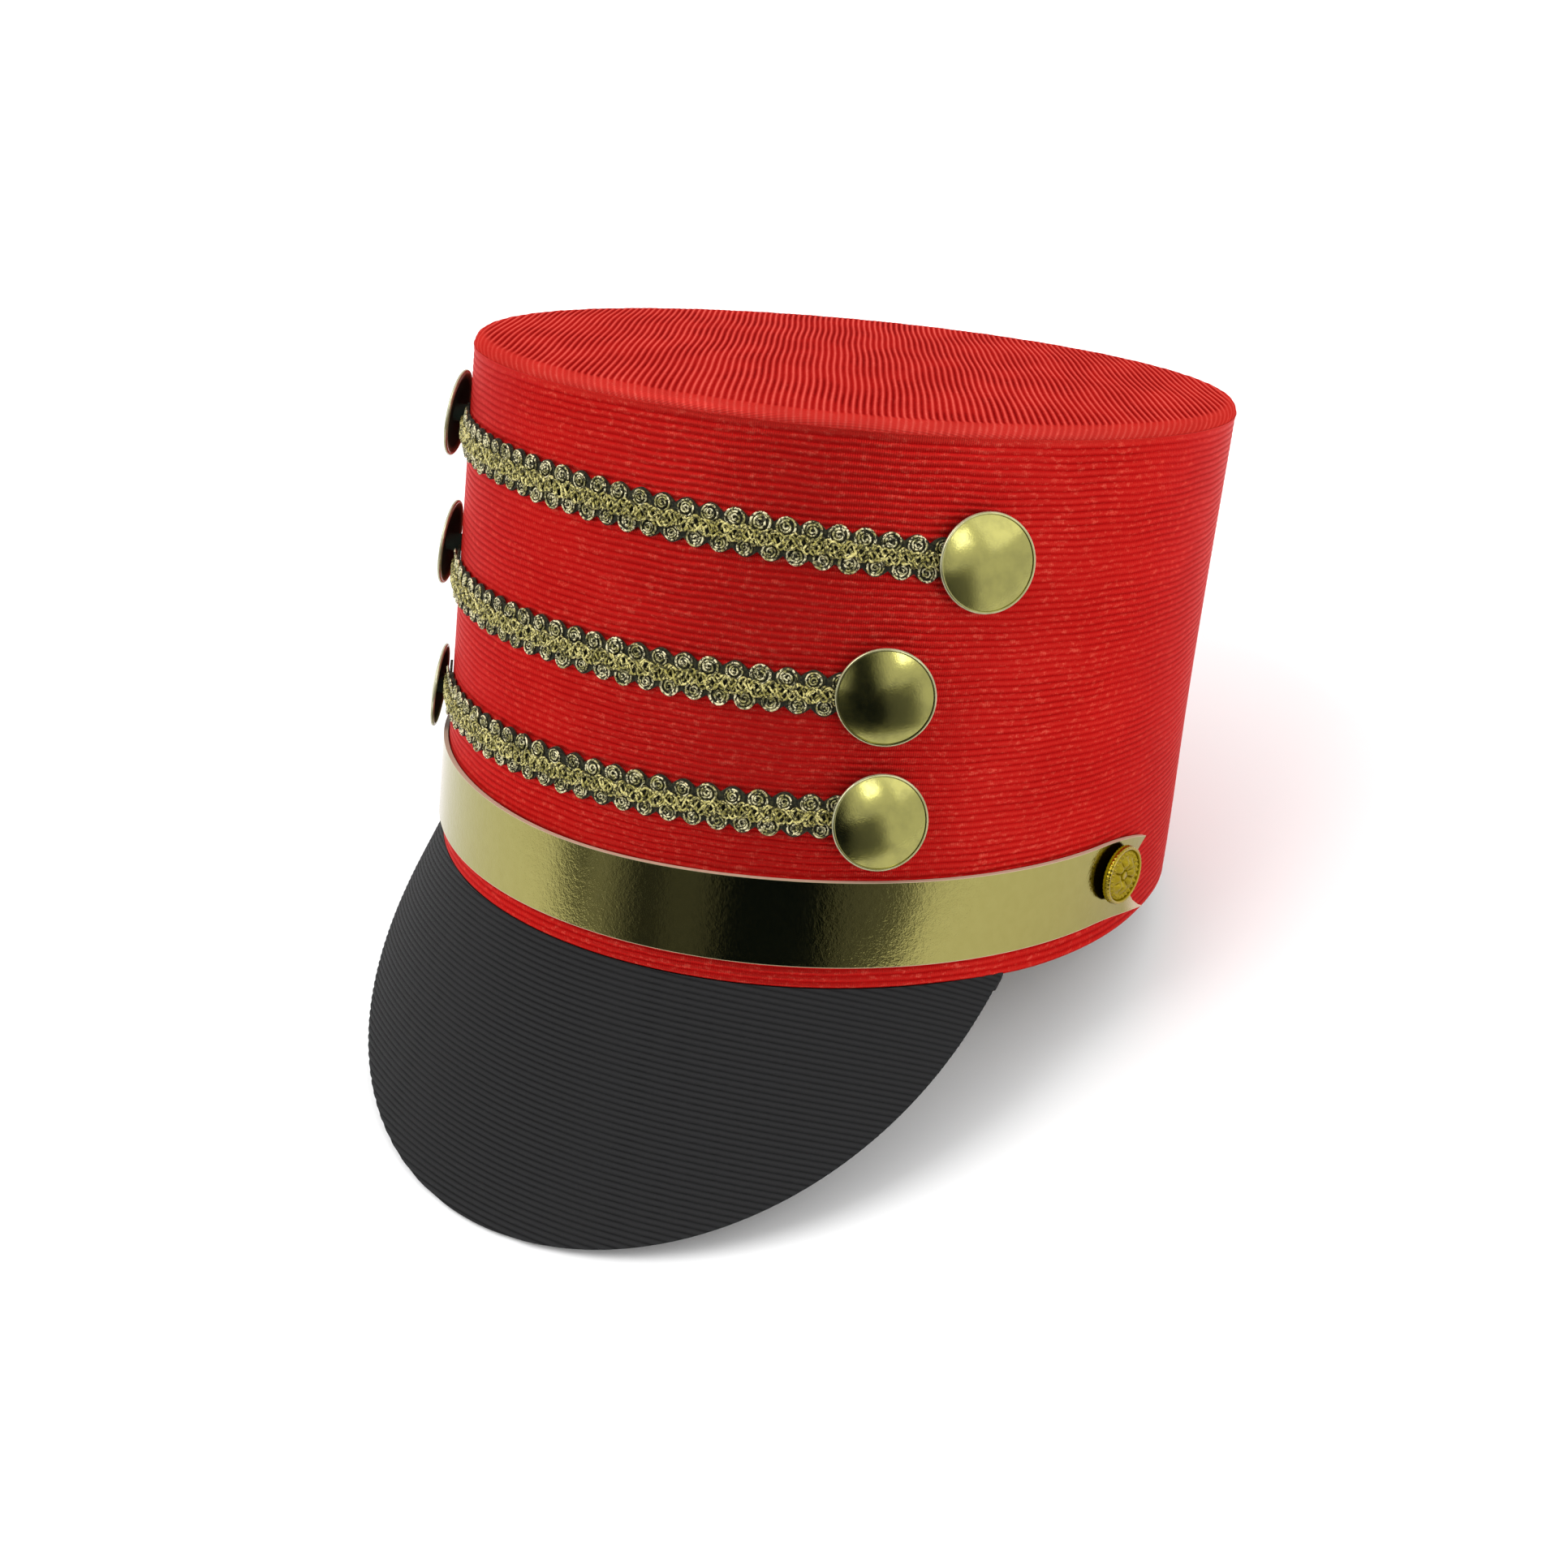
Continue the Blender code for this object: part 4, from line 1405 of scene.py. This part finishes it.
class BraidTree:
    """The geometry nodes that wind a row of braid: an eyelet on each loose point, a thread on each line."""

    SEED = 7
    SIZES = (
        ("Loop radius", "NodeSocketFloat", 1.76 * MM),
        ("Curl radius", "NodeSocketFloat", 1.30 * MM),
        ("Curl heart", "NodeSocketFloat", 0.25 * MM),
        ("Curl turns", "NodeSocketFloat", 1.85),
        ("Loop thread", "NodeSocketFloat", 0.25 * MM),
        ("Cord thread", "NodeSocketFloat", 0.25 * MM),
        ("Bead", "NodeSocketFloat", 0.48),
        ("Jitter", "NodeSocketFloat", 0.20),
        ("Seed", "NodeSocketInt", SEED),
    )

    def __init__(self, loop: bpy.types.Material, cord: bpy.types.Material) -> None:
        """Build the tree.

        Args:
            loop: finish of the eyelets.
            cord: finish of the plaited cords.
        """
        self.tree = bpy.data.node_groups.new("wound_braid", "GeometryNodeTree")
        self.inputs: dict[str, str] = {}
        face = self.tree.interface
        face.new_socket("Geometry", in_out="INPUT", socket_type="NodeSocketGeometry")
        for name, kind, value in self.SIZES:
            socket = face.new_socket(name, in_out="INPUT", socket_type=kind)
            socket.default_value = value
            self.inputs[name] = socket.identifier
        face.new_socket("Geometry", in_out="OUTPUT", socket_type="NodeSocketGeometry")
        self._wind(Graph(self.tree), loop, cord)

    def _wind(self, graph: Graph, loop: bpy.types.Material, cord: bpy.types.Material) -> None:
        """Put the nodes in.

        Args:
            graph: the tree to fill.
            loop: finish of the eyelets.
            cord: finish of the plaited cords.
        """
        given = graph.node("NodeGroupInput")
        size = {name: given.sibling(name) for name in self.inputs}
        loose, turn = (
            graph.node("GeometryNodeInputNamedAttribute", {"data_type": kind}, {"Name": name}, "Attribute")
            for name, kind in (("eyelet", "BOOLEAN"), ("turn", "FLOAT_VECTOR"))
        )
        guide = {"Geometry": given, "Selection": loose}
        spots = graph.node("GeometryNodeSeparateGeometry", {"domain": "POINT"}, guide)
        curl = graph.node("GeometryNodeCurveSpiral", {}, {
            "Resolution": 15, "Rotations": size["Curl turns"], "Start Radius": size["Curl heart"],
            "End Radius": size["Curl radius"], "Height": 0.0,
        })
        figure = self._joined(graph, self._circle(graph, 24, size["Loop radius"]), curl)
        shrink = graph.node("FunctionNodeRandomValue", {"data_type": "FLOAT"}, {
            "Min": 1.0 - size["Jitter"], "Max": 1.0 + 0.5 * size["Jitter"], "Seed": size["Seed"],
        }, "Value")
        rings = graph.node("GeometryNodeInstanceOnPoints", {}, {
            "Points": spots, "Instance": self._thread(graph, figure, size["Bead"], size["Loop thread"], 4),
            "Rotation": graph.node("FunctionNodeEulerToRotation", {}, {"Euler": turn}), "Scale": shrink,
        })
        whole = graph.node("GeometryNodeRealizeInstances", {}, {"Geometry": rings})
        strand = graph.node("GeometryNodeMeshToCurve", {}, {"Mesh": spots.sibling("Inverted")})
        cords = self._thread(graph, strand, size["Bead"], size["Cord thread"], 5)
        smooth = (graph.node("GeometryNodeSetShadeSmooth", {}, {"Geometry": part}) for part in (whole, cords))
        done = [
            graph.node("GeometryNodeSetMaterial", {}, {"Geometry": part, "Material": finish})
            for part, finish in zip(smooth, (loop, cord))
        ]
        out = self.tree.nodes.new("NodeGroupOutput")
        graph.feed(out.inputs["Geometry"], self._joined(graph, *done))

    @staticmethod
    def _joined(graph: Graph, *parts: Wire) -> Wire:
        """Join geometries.

        Args:
            graph: the tree to fill.
            parts: the geometries.

        Returns:
            All of them as one.
        """
        join = graph.node("GeometryNodeJoinGeometry")
        for part in parts:
            graph.feed(join.socket.node.inputs[0], part)
        return join

    @staticmethod
    def _circle(graph: Graph, sides: int, radius: Wire) -> Wire:
        """A circle of this many points."""
        inputs = {"Resolution": sides, "Radius": radius}
        return graph.node("GeometryNodeCurvePrimitiveCircle", {"mode": "RADIUS"}, inputs)

    def _thread(self, graph: Graph, curve: Wire, bead: Wire, radius: Wire, sides: int) -> Wire:
        """Give a curve the round section of a thread, thinner at every other point, as tinsel is.

        Args:
            graph: the tree to fill.
            curve: the line to wind the thread on.
            bead: how much thinner it is there.
            radius: the thread's radius.
            sides: number of sides of its section.

        Returns:
            The thread's mesh.
        """
        odd = graph.node("GeometryNodeInputIndex").maths("MODULO", 2.0)
        beaded = graph.node("GeometryNodeSetCurveRadius", {}, {"Curve": curve, "Radius": 1.0 - odd * bead})
        section = self._circle(graph, sides, radius)
        inputs = {"Curve": beaded, "Profile Curve": section, "Fill Caps": True}
        return graph.node("GeometryNodeCurveToMesh", {}, inputs)

    def apply(self, guide: bpy.types.Object, seed: int) -> bpy.types.Mesh:
        """Run the tree on a guide and give back the plain mesh.

        Args:
            guide: object that holds the lines and the loose points.
            seed: seed of the eyelets' sizes.

        Returns:
            The wound mesh.
        """
        modifier = guide.modifiers.new("braid", "NODES")
        modifier.node_group = self.tree
        for name, _, value in self.SIZES:
            modifier[self.inputs[name]] = seed if name == "Seed" else value
        graph = bpy.context.evaluated_depsgraph_get()
        graph.update()
        made = bpy.data.meshes.new_from_object(guide.evaluated_get(graph))
        guide.modifiers.remove(modifier)
        bpy.data.objects.remove(guide, do_unlink=True)
        return made


@dataclass
class Braid(Part):
    """One row of wound braid: staggered eyelets along both edges, plaited cords between them."""

    tree: BraidTree
    backing: bpy.types.Material
    number: int
    row: BraidRow
    width: float = 9.0 * MM
    pitch: float = 5.05 * MM
    clear: float = 3.4 * MM
    loop: float = 2.01 * MM
    loop_out: float = 1.10 * MM
    spin: float = 1.2
    wobble: float = 0.16
    cords: int = 6
    cord_out: float = 1.60 * MM
    cord_samples: int = 16
    plait: float = 0.30 * MM
    swing: float = 1.55 * MM
    strip_thick: float = 0.55 * MM
    strip_inset: float = 0.15 * MM
    scallop: float = 1.4 * MM

    def _span(self) -> tuple[float, float, int]:
        """The stretch that the row covers.

        Returns:
            Its first and last angle from the front in radians, and the number of eyelets on its lower edge.
        """
        clear = self.clear / self.form.rim_radius
        start, end = math.radians(self.row.left.angle) + clear, math.radians(self.row.right.angle) - clear
        return start, end, round((end - start) * self.form.rim_radius / self.pitch)

    def _eyelets(self) -> list[Matrix]:
        """Where the eyelets sit, each spun and tipped a little.

        Returns:
            Matrices in the world's frame, along the lower edge and then the upper one.
        """
        start, end, count = self._span()
        step = (end - start) / count
        rng = np.random.default_rng(100 + self.number)
        offset = self.width / 2 - self.loop
        spots = []
        for side in (-1, 1):
            for k in range(count if side < 0 else count - 1):
                angle = start + step * (k + 0.75 + 0.25 * side)
                height = float(self.row.height(np.array(angle))) + side * offset
                spot = self.place @ self.form.crown_frame(angle, height, self.loop_out)
                half_turn = math.pi if side < 0 else 0.0
                spin = Matrix.Rotation(rng.uniform(-self.spin, self.spin) + half_turn, 4, "Z")
                tilt = Matrix.Rotation(rng.uniform(-self.wobble, self.wobble), 4, "X")
                spots.append(spot @ tilt @ spin)
        return spots

    def _guide(self) -> bpy.types.Object:
        """The lines that the cords follow and the points where the eyelets sit.

        Returns:
            A helper object, in the world's frame.
        """
        eyelets = self._eyelets()
        points = [tuple(spot.translation) for spot in eyelets]
        turns = [tuple(spot.to_euler()) for spot in eyelets]
        start, end, count = self._span()
        samples = count * self.cord_samples
        t = np.linspace(0.0, 1.0, samples + 1)
        angle = start + (end - start) * t
        edges = []
        for cord in range(self.cords):
            drift = 0.5 * np.sin(9.0 * t * math.pi + 2.1 * cord) + 0.3 * np.sin(31.0 * t + cord)
            phase = 2 * math.pi * (t * count + cord / self.cords) + drift
            height = self.row.height(angle) + self.swing * (0.6 + 0.10 * cord) * np.sin(phase)
            line = self.form.crown(angle, height, self.cord_out + self.plait * np.cos(2 * phase + cord))
            first = len(points)
            points += moved(line, self.place).tolist()
            edges += [(first + k, first + k + 1) for k in range(samples)]
        turns += [(0.0, 0.0, 0.0)] * (len(points) - len(turns))
        loose = [k < len(eyelets) for k in range(len(points))]
        mesh = bpy.data.meshes.new(f"braid_guide_{self.number}")
        mesh.from_pydata(points, edges, [])
        turn = mesh.attributes.new("turn", "FLOAT_VECTOR", "POINT")
        turn.data.foreach_set("vector", np.array(turns, dtype=np.float32).ravel())
        mesh.attributes.new("eyelet", "BOOLEAN", "POINT").data.foreach_set("value", loose)
        return add_piece(mesh.name, mesh)

    def _ribbon(self) -> bpy.types.Mesh:
        """The dark strip under the threads, with edges that follow the eyelets. It is the net, and it also
        stands for the shade between the threads.

        Returns:
            A closed mesh in the world's frame.
        """
        start, end, count = self._span()
        share = np.linspace(0.0, 1.0, count * 10 + 1)[None, :]
        angle = start + (end - start) * share
        side = np.linspace(-1.0, 1.0, 5)[:, None]
        bulge = np.abs(np.sin(math.pi * (share * count + np.where(side > 0, 0.5, 0.0))))
        half = self.width / 2 - self.strip_inset - self.scallop * (1.0 - bulge)
        height = self.row.height(angle) + side * half
        skin = Skin()
        outs = (self.form.gap + self.strip_thick, self.form.gap)
        grids = [skin.add(self.form.crown(angle, height, out)) for out in outs]
        for grid in grids:
            skin.quads(grid)
        skin.join(*grids)
        return skin.mesh(f"braid_strip_{self.number}", self.place)

    def build(self) -> bpy.types.Object:
        """Wind the threads, lay them on their strip, and join the two.

        Returns:
            The piece.
        """
        name = f"braid_{self.number}"
        wound = self.tree.apply(self._guide(), BraidTree.SEED + self.number)
        strip = self._ribbon()
        bm = bmesh.new()
        bm.from_mesh(wound)
        bmesh.ops.recalc_face_normals(bm, faces=bm.faces)
        first = len(bm.faces)
        bm.from_mesh(strip)
        bm.faces.ensure_lookup_table()
        for face in bm.faces[first:]:
            face.material_index = len(wound.materials)
        bm.to_mesh(wound)
        bm.free()
        bpy.data.meshes.remove(strip)
        wound.materials.append(self.backing)
        wound.name = name
        return self.dress(name, wound, None, "braid_thread", f"braid_row_{self.number}")


@dataclass(frozen=True)
class Softbox:
    """A square light: its bearing and elevation in degrees, distance and side in metres, power in watts."""

    name: str
    bearing: float
    elevation: float
    distance: float
    side: float
    power: float


Stops = tuple[tuple[float, float], ...]


@dataclass
class Studio:
    """A pale table top, soft light all round, felt cards for the metal to mirror, and the camera."""

    place: Matrix
    eye: tuple[float, float, float] = (0.26703, -0.35949, 0.19255)
    right: tuple[float, float, float] = (0.78485597, 0.6181017, 0.04417452)
    up: tuple[float, float, float] = (-0.26625226, 0.27199423, 0.92473178)
    lens: float = 46.43
    table_front: float = 0.27
    table_back: float = 2.4
    table_half: float = 2.0
    flag_radius: float = 1.0
    flag_low: float = -0.8
    flag_high: float = 0.27
    flag: Stops = (
        (-38, 1.0), (-34, 0.40), (-30, 0.16), (-27, 0.18), (-23, 0.40), (-17, 0.26), (-11, 0.06), (-5, 0.02),
        (-1, 0.09), (10, 0.09), (15, 0.0), (41, 0.0), (45, 0.12), (62, 0.22), (65, 0.60), (68, 1.0)
    )
    tall_high: float = 1.7
    tall: Stops = ((10, 1.0), (16, 0.45), (22, 0.0), (37, 0.0), (49, 1.0))
    card: Stops = ((-104, 0.9), (-78, 0.9))
    columns: int = 61
    dome_strength: float = 1.20
    aim: float = 0.06
    lights: tuple[Softbox, ...] = (
        Softbox("key_softbox", -28.0, 58.0, 1.3, 0.8, 7.0),
        Softbox("side_softbox", 100.0, 32.0, 1.4, 0.9, 3.0),
        Softbox("button_light", 64.0, 31.0, 1.1, 0.20, 0.8),
    )

    def _bearing(self, degrees: float, distance: float, height: float) -> Vector:
        """A point at a bearing from the front, -Y, towards +X."""
        angle = math.radians(degrees)
        return Vector((math.sin(angle) * distance, -math.cos(angle) * distance, height))

    def build_table(self) -> bpy.types.Object:
        """The table top, turned to the camera and ending just below the picture.

        Returns:
            The floor.
        """
        facing = (self.place.to_3x3() @ Vector(self.eye)).to_2d().normalized()
        beside = Vector((-facing.y, facing.x))
        front, back = facing * self.table_front, facing * -self.table_back
        corners = []
        for line, side in ((front, -1), (front, 1), (back, 1), (back, -1)):
            spot = line + beside * side * self.table_half
            corners.append((spot.x, spot.y, 0.0))
        mesh = bpy.data.meshes.new("table_top")
        mesh.from_pydata(corners, [], [(0, 1, 2, 3)])
        return add_piece("table_top", mesh, Paper(0.96).material("white_paper"))

    def build_flag(self) -> bpy.types.Object:
        """The curved felt cards that the foil and the domes mirror, and the camera itself doesn't see.

        They stand on one circle round the hat. The stops of each are bearings in degrees and how pale
        the felt is there.

        Returns:
            The cards, as one piece.
        """
        skin = Skin()
        cards = (
            (self.flag, self.flag_low, self.flag_high),
            (self.tall, self.flag_high, self.tall_high),
            (self.card, self.flag_low, self.tall_high),
        )
        for stops, low, high in cards:
            bearings = np.linspace(stops[0][0], stops[-1][0], self.columns)
            fade = np.interp(bearings, *zip(*stops))
            rows = [[self._bearing(b, self.flag_radius, level) for b in bearings] for level in (high, low)]
            skin.quads(skin.add(np.array(rows), fade=fade))
        mesh = skin.mesh("dark_flag", Matrix.Identity(4))
        flag = add_piece("dark_flag", mesh, Felt().material("dark_felt"))
        flag.visible_camera = False
        return flag

    def build_light(self, light: Softbox) -> None:
        """Hang one soft light that faces the hat.

        Args:
            light: what it is and where it hangs.
        """
        data = bpy.data.lights.new(light.name, "AREA")
        data.size, data.energy = light.side, light.power
        lamp = bpy.data.objects.new(light.name, data)
        rise = math.radians(light.elevation)
        away, up = light.distance * math.cos(rise), light.distance * math.sin(rise)
        lamp.location = self._bearing(light.bearing, away, self.aim + up)
        lamp.rotation_euler = (lamp.location - Vector((0, 0, self.aim))).to_track_quat("Z", "Y").to_euler()
        bpy.context.scene.collection.objects.link(lamp)

    def build_camera(self) -> None:
        """The photograph's camera, kept in the hat's own frame and moved with it."""
        data = bpy.data.cameras.new("photo_camera")
        data.lens = self.lens
        data.sensor_width = 36.0
        data.clip_start = 0.01
        camera = bpy.data.objects.new("photo_camera", data)
        right, up = Vector(self.right).normalized(), Vector(self.up).normalized()
        turn = Matrix((right, up, right.cross(up))).transposed().to_4x4()
        camera.matrix_world = self.place @ Matrix.Translation(self.eye) @ turn
        bpy.context.scene.collection.objects.link(camera)
        bpy.context.scene.camera = camera

    def build(self) -> None:
        """Build the whole studio."""
        self.build_table()
        self.build_flag()
        world = bpy.data.worlds.new("studio")
        world.use_nodes = True
        backdrop = world.node_tree.nodes["Background"]
        backdrop.inputs["Color"].default_value = (1.0, 1.0, 1.0, 1.0)
        backdrop.inputs["Strength"].default_value = self.dome_strength
        bpy.context.scene.world = world
        bpy.context.scene.view_settings.view_transform = "Standard"
        for light in self.lights:
            self.build_light(light)
        self.build_camera()


def main() -> None:
    """Build the hat and its studio."""
    logging.basicConfig(level=logging.INFO, format="%(name)s: %(message)s")
    place = FORM.place()
    Studio(place).build()
    crown = Crown(FORM, place)
    crown.build_side()
    crown.build_top()
    Visor(FORM, place).build()
    band = GoldBand(FORM, place)
    band.build()
    loop = MetallicThread()
    cord = MetallicThread((0.760, 0.680, 0.260), (0.050, 0.044, 0.009), (0.380, 0.335, 0.080))
    tree = BraidTree(loop.material("tinsel_loops"), cord.material("tinsel_cords"))
    # The dark net also stands for the painted shade between the braid's threads.
    backing = BackingAndShade().material("dark_net_and_shade")
    for number, row in enumerate(ROWS, start=1):
        Braid(FORM, place, tree, backing, number, row).build()
        for spot in (row.left, row.right):
            DomeButton(FORM, place, number, spot).build()
    for side, angle in ((Side.LEFT, -band.button_angle), (Side.RIGHT, band.button_angle)):
        height = float(band.middle(np.array(angle))) + band.button_rise
        CoinButton(FORM, place, side, angle, height, FORM.gap + band.thick).build()


if __name__ == "__main__":
    main()
